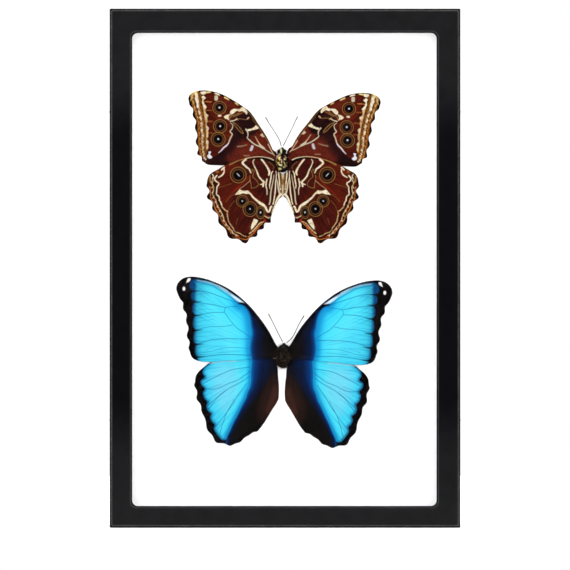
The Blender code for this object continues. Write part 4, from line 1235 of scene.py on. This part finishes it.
# Where the bodies rest on the pad, and the bowls that it sinks to behind them:
# middle x and z, half sizes in x and z, and how deep.
BODY_RESTS = ((-1.9, 209.5, 4.0, 8.5), (-1.0, 98.5, 4.0, 8.5))
BOWLS = (
    (-1.9, 208.7, 3.9, 6.1, 11.6), (-1.8, 214.7, 2.9, 2.4, 9.2), (-1.9, 208.9, 6.4, 6.3, 10.0),
    (-2.1, 206.1, 5.4, 4.0, 10.0), (-1.0, 97.0, 3.9, 6.6, 11.6), (-0.6, 102.9, 2.9, 2.4, 9.2),
    (-1.0, 97.2, 6.4, 6.8, 10.0), (-1.2, 94.4, 5.4, 4.0, 10.0),
)
ANTENNAE = {
    "upper_butterfly_antenna_left": ((-2.2, 217.9), (-3, 220.9), (-5.9, 226), (-8.9, 230.6), (-11.3, 234.6)),
    "upper_butterfly_antenna_right": ((-1, 218), (0.2, 220.4), (2.4, 224.8), (4.8, 229.6), (7.3, 235)),
    "lower_butterfly_antenna_left": ((-1.3, 105.9), (-3.2, 109.4), (-5.8, 114.7), (-7.9, 118.9),
                                     (-9.7, 122.2)),
    "lower_butterfly_antenna_right": ((0.9, 105.5), (3.5, 107.6), (5.4, 110.7), (8, 116), (11, 121.2)),
}


def wadding_finish():
    """White fibre with a painted glow: it shines by itself to lift the shade near the window's edges and
    round the specimens.
    """
    painted_glow = {"Emission_Color": (1, 1, 1, 1), "Emission_Strength": 0.5}
    finish = Finish("white_wadding_fibre", Roughness=0.95, **painted_glow)
    fibre = finish.grain(0.5, 5.0, where=finish.stretched(1.0, 1.0, 0.5), roughness=0.7)
    tuft = finish.grain(6.0, 4.0)
    finish.colour(finish.mix(fibre * 0.5 + tuft * 0.5, (0.47, 0.475, 0.48), (0.52, 0.52, 0.52)))
    finish.relief(fibre * 0.6 + tuft * 0.6, 0.2, 0.25)
    return finish


def distance_to_specimens(spots):
    """How far each place on the pad is from the nearest wing, antenna or body."""
    x, z = spots.T
    reach = np.full(len(spots), 20.0)
    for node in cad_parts:
        if "forewing" in node or "hindwing" in node:
            outline = cad_outline(node)
            for px, pz in evenly(np.vstack((outline, outline[:1])), 1.0):
                reach = np.minimum(reach, np.hypot(x - px, z - pz))
            reach[inside(spots, outline)] = 0
    for route in ANTENNAE.values():
        for px, pz in evenly(spline_through(route), 1.0):
            reach = np.minimum(reach, np.hypot(x - px, z - pz) + 0.6)
    for cx, cz, rx, rz in BODY_RESTS:
        away = (np.hypot((x - cx) / rx, (z - cz) / rz) - 1) * rx
        reach = np.minimum(reach, np.maximum(away, 0))
    return reach


def pad_depth(spots):
    """How deep the pad's front lies: swollen in the open, hollow behind bodies, rounded at the border."""
    x, z = spots.T
    swell = ease((distance_to_specimens(spots) - 0.8) / 10)
    tufts = np.array([noise.fractal(Vector((a * 0.12, b * 0.12, 0)), 0.8, 2.0, 4) for a, b in spots])
    depth = PAD_FRONT - 2.35 * swell + 0.1 * tufts * (0.3 + swell)
    for cx, cz, rx, rz, deep in BOWLS:
        bowl = 1 - ((x - cx) / rx) ** 2 - ((z - cz) / rz) ** 2
        depth = np.maximum(depth, PAD_FRONT + (deep - PAD_FRONT) * np.sqrt(np.clip(bowl, 0, 1)))
    border = np.minimum.reduce((x + PAD_HALF_WIDTH, PAD_HALF_WIDTH - x, z - PAD_LOW, PAD_HIGH - z))
    return depth + 2.5 * np.clip(1 - border / 3.0, 0, 1) ** 2


def make_wadding():
    """Soft white fibre that swells towards the glass and sinks behind the wings and bodies."""
    nx, nz = round(2 * PAD_HALF_WIDTH / PAD_GAP) + 1, round((PAD_HIGH - PAD_LOW) / PAD_GAP) + 1
    x, z = np.meshgrid(np.linspace(-PAD_HALF_WIDTH, PAD_HALF_WIDTH, nx), np.linspace(PAD_LOW, PAD_HIGH, nz))
    spots = np.column_stack((x.ravel(), z.ravel()))
    points = np.column_stack((spots[:, 0], pad_depth(spots), spots[:, 1]))
    starts = [j * nx + i for j in range(nz - 1) for i in range(nx - 1)]
    faces = [(a, a + 1, a + nx + 1, a + nx) for a in starts]
    rim = [*range(nx), *[j * nx + nx - 1 for j in range(1, nz)],
           *[(nz - 1) * nx + i for i in range(nx - 2, -1, -1)], *[j * nx for j in range(nz - 2, 0, -1)]]
    total, count = len(points), len(rim)
    sides = [points[rim] * (1, 0, 1) + (0, depth, 0) for depth in (PAD_MIDDLE, PAD_BACK)]
    for k in range(count):
        j = (k + 1) % count
        faces.append((rim[j], rim[k], total + k, total + j))
        faces.append((total + j, total + k, total + count + k, total + count + j))
    faces.append(tuple(range(total + count, total + 2 * count)))
    points = np.vstack((points, *sides))
    made = piece("wadding_fibre", points, faces, wadding_finish(), "white_wadding", "wadding")


# Antennae and bodies.

ANTENNA_DEPTH = 5.3


def sweep(route, radii, sides=8):
    """Points and faces of a closed tube along a route of (x, depth, z), with a radius at each point."""
    route = [Vector(p) for p in route]
    points = []
    for i, here in enumerate(route):
        ahead = (route[min(i + 1, len(route) - 1)] - route[max(i - 1, 0)]).normalized()
        side = ahead.cross(Vector((0, 1, 0))).normalized()
        up = side.cross(ahead)
        points += [here + (side * c + up * s) * radii[i] for c, s in around(sides)]
    faces = rings_to_faces(len(route), sides)
    points += [route[0], route[-1]]
    first, last = len(points) - 2, len(points) - 1
    end = (len(route) - 1) * sides
    faces += [(first, (k + 1) % sides, k) for k in range(sides)]
    faces += [(end + k, end + (k + 1) % sides, last) for k in range(sides)]
    return [tuple(p) for p in points], faces


def make_antennae():
    """Fine ringed antennae that thicken to a club."""
    finish = Finish("antenna_dark", Roughness=0.5)
    finish.colour(finish.mix(finish.grain(0.4, 2.0), painted(70, 68, 66), painted(98, 95, 92)))
    for name, points in ANTENNAE.items():
        route = evenly(spline_through(points, 6), 0.22)
        share = np.linspace(0, 1, len(route))
        segments = np.arange(len(route)) % 3 == 0
        radii = 0.26 + 0.02 * segments + 0.08 * np.clip((share - 0.8) / 0.15, 0, 1)
        radii *= np.clip((1.005 - share) / 0.03, 0.3, 1)
        points, faces = sweep([(x, ANTENNA_DEPTH, z) for x, z in route], radii)
        piece("segmented_" + name, points, faces, finish, "antenna", name)


def melted(name, lumps):
    """Ellipsoids, each (centre, half size), melted into one form: its points, faces and normals."""
    bm = bmesh.new()
    for centre, half in lumps:
        ball = bmesh.ops.create_icosphere(bm, subdivisions=3, radius=1.0)["verts"]
        bmesh.ops.scale(bm, vec=half, verts=ball)
        bmesh.ops.translate(bm, vec=centre, verts=ball)
    mesh = bpy.data.meshes.new(name)
    bm.to_mesh(mesh)
    bm.free()
    made = bpy.data.objects.new(name, mesh)
    show(made)
    melt = made.modifiers.new("Melt", "REMESH")
    melt.mode = "VOXEL"
    melt.voxel_size = 0.15
    soften = made.modifiers.new("Soften", "SMOOTH")
    soften.iterations = 3
    bpy.context.view_layer.update()
    solid = bpy.data.meshes.new_from_object(made.evaluated_get(bpy.context.evaluated_depsgraph_get()))
    points = np.array([v.co for v in solid.vertices])
    faces = [tuple(f.vertices) for f in solid.polygons]
    normals = np.array([v.normal for v in solid.vertices])
    bpy.data.objects.remove(made)
    return points, faces, normals


def strands(starts, ways, lengths, width, chance):
    """Hairs as thin closed slivers, each from its start along its way, bent a little towards the end."""
    points, faces = [], []
    for start, way, length in zip(starts, ways, lengths):
        way = Vector(way).normalized()
        side = way.cross(Vector((0, 1, 0.2))).normalized() * width / 2
        other = way.cross(side).normalized() * width / 2
        tip = Vector(start) + way * length + Vector(chance.normal(0, 0.12, 3))
        first = len(points)
        points += [Vector(start) + side, Vector(start) - side, Vector(start) + other, tip]
        faces += [(first, first + 2, first + 1), (first, first + 1, first + 3),
                  (first + 1, first + 2, first + 3), (first + 2, first, first + 3)]
    return [tuple(p) for p in points], faces


def fur(points, normals, chance, count, length, lean):
    """Short hairs all over the front of a form, leaning along lean."""
    front = np.flatnonzero(normals[:, 1] < 0.25)
    picked = chance.choice(front, count)
    ways = normals[picked] * 0.6 + np.array(lean) + chance.normal(0, 0.25, (count, 3))
    return strands(points[picked], ways, chance.uniform(*length, count), 0.16, chance)


def fringe(middle, half, chance, count, length, depth):
    """Longer hairs that lie outwards over the wings' roots, all round the sides of a body."""
    turn = chance.uniform(0, 2 * math.pi, count)
    turn = turn + 0.45 * np.sin(2 * turn)
    across, up = np.cos(turn), np.sin(turn)
    x, z = middle
    starts = np.column_stack((x + across * half[0] * chance.uniform(0.55, 0.95, count),
                              chance.uniform(*depth, count),
                              z + up * half[1] * chance.uniform(0.55, 0.95, count)))
    stray = chance.normal(0, 0.16, (count, 3)) * (1, 0.2, 1)
    ways = np.column_stack((across, np.full(count, -0.04), up * 0.7 - 0.15)) + stray
    lengths = chance.uniform(*length, count) * (0.35 + 0.65 * np.abs(across))
    return strands(starts, ways, lengths, 0.24, chance)


BODY_PIGMENTS = {
    "gold": (246, 208, 104), "butter": (255, 250, 190), "blush": (248, 212, 176), "tan": (196, 160, 116),
    "sage": (140, 146, 116), "soot": (8, 7, 6), "grey": (150, 148, 144), "pink": (196, 164, 156),
}
UPPER_BODY_MARKS = [
    Line("butter", [0.5, 0.9, 0.7], (-2.3, 216.9), (-2.25, 215.6), (-2.05, 213.7)),
    Line("sage", 0.8, (-2.2, 217.4), (-2.2, 216.8)),
    *strokes("soot", (1.0, (-3.4, 216.4), (-3.3, 214.2)), (1.5, (-0.9, 216.4), (-0.7, 213.4)), soft=0.25),
    *dabs("blush", (-3.3, 213.1, 0.75), (-4.4, 212, 0.6), (-0.2, 210.3, 0.5), (-0.7, 205.8, 0.5),
          soft=0.25),
    *dabs("tan", (-4.8, 210.9, 0.6), (0.3, 211.2, 0.3), (1.0, 206.6, 0.5), soft=0.25),
    *strokes("gold", ([0.8, 1.3, 1.0], (-2.6, 211.9), (-3.4, 211), (-2.9, 210)),
             ([0.7, 0.9, 0.7], (-5, 209.6), (-4.4, 208.4), (-3.4, 208.4)), soft=0.2),
    *strokes("butter", (0.6, (-2.7, 211.6), (-3.1, 210.6)),
             ([0.5, 0.9, 0.9], (-3.7, 207.7), (-3, 207.1), (-2, 206.8)), soft=0.2),
    *dabs("soot", (-3.8, 209.4, 0.4), (-2.6, 209.4, 0.4), soft=0.2),
    Line("blush", 0.5, (-2, 210), (-1.9, 208.2), soft=0.2),
    Line("gold", 0.6, (-5, 207.4), (-4.6, 205.2), soft=0.25),
    Line("soot", 0.5, (-4, 206.6), (-3.2, 206), (-2.2, 205.8), soft=0.2),
    Ring("gold", (-3.4, 204.7), 1.1, tall=0.65, soft=0.2),
    Ring("butter", (-2.5, 204.9), 0.6, tall=0.6, soft=0.2),
    Ring("sage", (1.3, 208.3), 0.5, tall=1.5, soft=0.25),
    Line("tan", [0.3, 0.5, 0.3], (-0.5, 213), (0.2, 211.6), (0.6, 209.8), soft=0.25, strength=0.7),
    Line("gold", [0.3, 0.6, 0.4], (-0.9, 209.2), (-0.1, 207.6), (0.2, 205.9), soft=0.25, strength=0.6),
    *dabs("shine", (-3.35, 214.85, 0.9), (-0.25, 214.85, 0.9)),
]
LOWER_BODY_MARKS = [
    Patch("soot", (-3.2, 103.1), (-1.6, 104.6), (-0.3, 105.8), (1.2, 104.3), (2, 103), (0.9, 101.8),
          (-2.2, 101.8)),
    # Painted highlights on the head and eyes, in grey.
    Line("grey", 0.5, (-1.2, 102.9), (-0.4, 103.9), (0.3, 102.9), soft=0.3, strength=0.5),
    Ring("grey", (-2.9, 101.6), 0.4, soft=0.3, strength=0.5),
    Ring("grey", (1.5, 102.2), 0.35, soft=0.3),
    Line("pink", 0.6, (-7.5, 96.1), (-6.5, 96.3), soft=0.25),
    Ring("pink", (-4.6, 95.5), 0.4, soft=0.3, strength=0.4),
    Line("grey", 0.5, (2.6, 95.5), (1.8, 94.2), soft=0.25, strength=0.9),
    Ring("pink", (4.4, 96.3), 0.5, soft=0.3, strength=0.45),
    *dabs("shine", (-2.15, 103.05, 0.9), (0.95, 103.05, 0.9)),
]

# Each body: the middle and half height of its thorax, the middle of its head, its marks, the dark
# and the light of its fur, its slot, its seed, and how many fringe hairs it has and how long.
BODIES = {
    "upper": ((-1.9, 7.6, 208.7), 5.7, (-1.8, 6.8, 214.7), UPPER_BODY_MARKS, (24, 15, 12), (74, 54, 40),
              "olive_body", 11, 500, (0.5, 1.3)),
    "lower": ((-1.0, 7.6, 97.0), 6.2, (-0.6, 6.8, 102.9), LOWER_BODY_MARKS, (32, 23, 18), (54, 41, 33),
              "black_body", 23, 3000, (2.0, 4.2)),
}
PAIRED_LUMPS = (
    # On the head, the eyes and the palps: across, deeper and up from its middle, then half sizes.
    ("head", 1.55, -0.5, 0.15, (1.05, 1.05, 1.05)),
    ("head", 0.4, -1.0, 1.3, (0.5, 0.55, 1.2)),
    # On the thorax, the swellings of its sides.
    ("thorax", 1.5, -1.7, 2.2, (1.7, 1.6, 2.2)),
    ("thorax", 1.3, -1.9, -1.2, (1.6, 1.4, 1.9)),
)


def body_finish(name, dark, light):
    """Dark fur with painted tufts and shining eyes."""
    finish = Finish(name, Specular_IOR_Level=0.1)
    fuzz = finish.grain(0.4, 4.0, where=finish.stretched(1.5, 1.0, 0.5))
    colour = finish.mix(fuzz.step(0.42, 0.75), painted(*dark), painted(*light))
    for pigment, shown in BODY_PIGMENTS.items():
        colour = finish.mix(finish.attribute(pigment) * (fuzz * 0.6 + 0.7), colour, painted(*shown))
    finish.colour(colour)
    finish.roughness(0.75 - finish.attribute("shine") * 0.55)
    finish.relief(fuzz, 0.12, 0.6)
    return finish


def body_lumps(thorax, half_height, head):
    """The lumps that melt into a body: thorax, head, the fur behind the wing roots, eyes and palps."""
    x, deep, z = thorax
    lumps = [
        (thorax, (3.4, 3.3, half_height - 0.2)), (head, (1.9, 1.8, 1.8)),
        ((x, 7.9, z + 0.2), (5.4, 1.35, half_height - 0.1)), ((x - 0.2, 7.9, z - 2.6), (4.4, 1.3, 3.2)),
    ]
    for holder, across, deeper, up, half in PAIRED_LUMPS:
        cx, cd, cz = head if holder == "head" else thorax
        lumps += [((cx + side * across, cd + deeper, cz + up), half) for side in (-1, 1)]
    return lumps


def leg_lumps(thorax):
    """Two folded legs on each side of the thorax, as rows of small lumps from hip to knee to foot."""
    x, deep, z = thorax
    lumps = []
    for side in (-1, 1):
        for hip, knee, foot in ((2.6, 1.1, -1.3), (-0.3, -1.9, -4.0)):
            joints = np.array([(x + side * 0.6, deep - 3.0, z + hip), (x + side * 2.2, deep - 2.9, z + knee),
                               (x + side * 1.1, deep - 3.0, z + foot)])
            for a, b in zip(joints, joints[1:]):
                lumps += [(tuple(a + (b - a) * t), (0.36, 0.36, 0.4)) for t in np.linspace(0, 1, 7)]
    return lumps


def make_bodies():
    """Melts, furs and paints the two bodies."""
    for label, held in BODIES.items():
        thorax, half_height, head, marks, dark, light, slot, seed, hair_count, hair_length = held
        chance = np.random.default_rng(seed)
        lumps = body_lumps(thorax, half_height, head)
        if label == "upper":
            lumps += leg_lumps(thorax)
        points, faces, normals = melted(f"{label}_melt", lumps)
        middle, half = (thorax[0], thorax[2] + 0.4), (3.3, half_height - 0.4)
        hairs = [
            fur(points, normals, chance, 1100, (0.4, 0.9), (0, -0.1, -0.5)),
            fringe(middle, half, chance, hair_count, hair_length, (4.45, 4.75)),
        ]
        points = list(map(tuple, points))
        for hair_points, hair_faces in hairs:
            first = len(points)
            points += hair_points
            faces += [tuple(first + i for i in face) for face in hair_faces]
        finish = body_finish(f"{label}_body_fur", dark, light)
        node = f"{label}_butterfly_body"
        made = piece(f"{label}_body_form", points, faces, finish, slot, node, outwards=False)
        laid = paint(np.array(points)[:, [0, 2]], marks)
        blank = np.zeros(len(points))
        write_shares(made.data, {name: laid.get(name, blank) for name in (*BODY_PIGMENTS, "shine")})


# The studio, in metres.

SENSOR_WIDTH = 36.0
CAMERA_PLACE = (0, -1.6125, 0.1384)
VIEW_DISTANCE = 1.6
VIEW_WIDTH = 0.325
FRONT_LIGHT = 2.8


def make_camera():
    """A long lens straight in front of the box."""
    data = bpy.data.cameras.new("camera")
    data.sensor_width = SENSOR_WIDTH
    data.lens = SENSOR_WIDTH * VIEW_DISTANCE / VIEW_WIDTH
    camera = bpy.data.objects.new("camera", data)
    camera.location = CAMERA_PLACE
    camera.rotation_euler = (math.pi / 2, 0, 0)
    show(camera)
    bpy.context.scene.camera = camera


def make_softbox(name, place_at, target, size, power):
    data = bpy.data.lights.new(name, "AREA")
    data.shape = "RECTANGLE"
    data.size, data.size_y = size
    data.energy = power
    lamp = bpy.data.objects.new(name, data)
    lamp.location = place_at
    lamp.rotation_mode = "QUATERNION"
    lamp.rotation_quaternion = (Vector(target) - Vector(place_at)).to_track_quat("-Z", "Y")
    show(lamp)


class Sky(Finish):
    """The node tree of the light all round."""

    def __init__(self, tree):
        self.tree = tree


def make_world():
    """Even white studio light, darker just behind the camera so that the glass stays clear."""
    world = bpy.data.worlds.new("studio")
    world.use_nodes = True
    bpy.context.scene.world = world
    surface = world.node_tree.nodes["Background"]
    sky = Sky(world.node_tree)
    way = sky.node("ShaderNodeTexCoord")
    forwards, height = sky.axis(way, "Y") * -1, sky.axis(way, "Z")
    aside = 1 - forwards.step(0.74, 0.95)
    above = height.maths("ABSOLUTE", height).step(0.1, 0.3)
    open_light = 1 - (1 - aside) * (1 - above)
    front = forwards.step(-0.15, 0.15)
    strength = open_light * (1.0 + front * (FRONT_LIGHT - 1.0)) + 0.01
    seen = sky.node("ShaderNodeLightPath")
    surface.inputs["Color"].default_value = (1, 1, 1, 1)
    sky.feed(surface.inputs["Strength"], strength.maths("MAXIMUM", strength, seen))


def make_floor():
    """A plain pale disc under the box."""
    finish = Finish("pale_floor", Roughness=0.8, Emission_Color=(1, 1, 1, 1), Emission_Strength=0.12)
    finish.colour(finish.mix(finish.grain(40.0), (0.93, 0.93, 0.93), (0.96, 0.96, 0.96)))
    mesh = bpy.data.meshes.new("floor")
    bm = bmesh.new()
    bmesh.ops.create_circle(bm, cap_ends=True, segments=96, radius=0.33)
    bm.to_mesh(mesh)
    bm.free()
    mesh.materials.append(finish.material)
    floor = bpy.data.objects.new("floor", mesh)
    floor.location = (0, 0.12, -0.0002)
    show(floor)


def main():
    make_camera()
    make_world()
    make_floor()
    for name, side in (("left_softbox", -1), ("right_softbox", 1)):
        make_softbox(name, (side * 1.3, -1.1, 0.7), (0, 0, 0.15), (0.8, 1.2), 12)
    card = paper_finish("black_paper")
    make_lid(card)
    make_tray(card)
    dress_glass()
    make_wadding()
    make_pins()
    make_wings()
    make_bodies()
    make_antennae()
    bpy.context.scene.view_settings.view_transform = "Standard"


main()
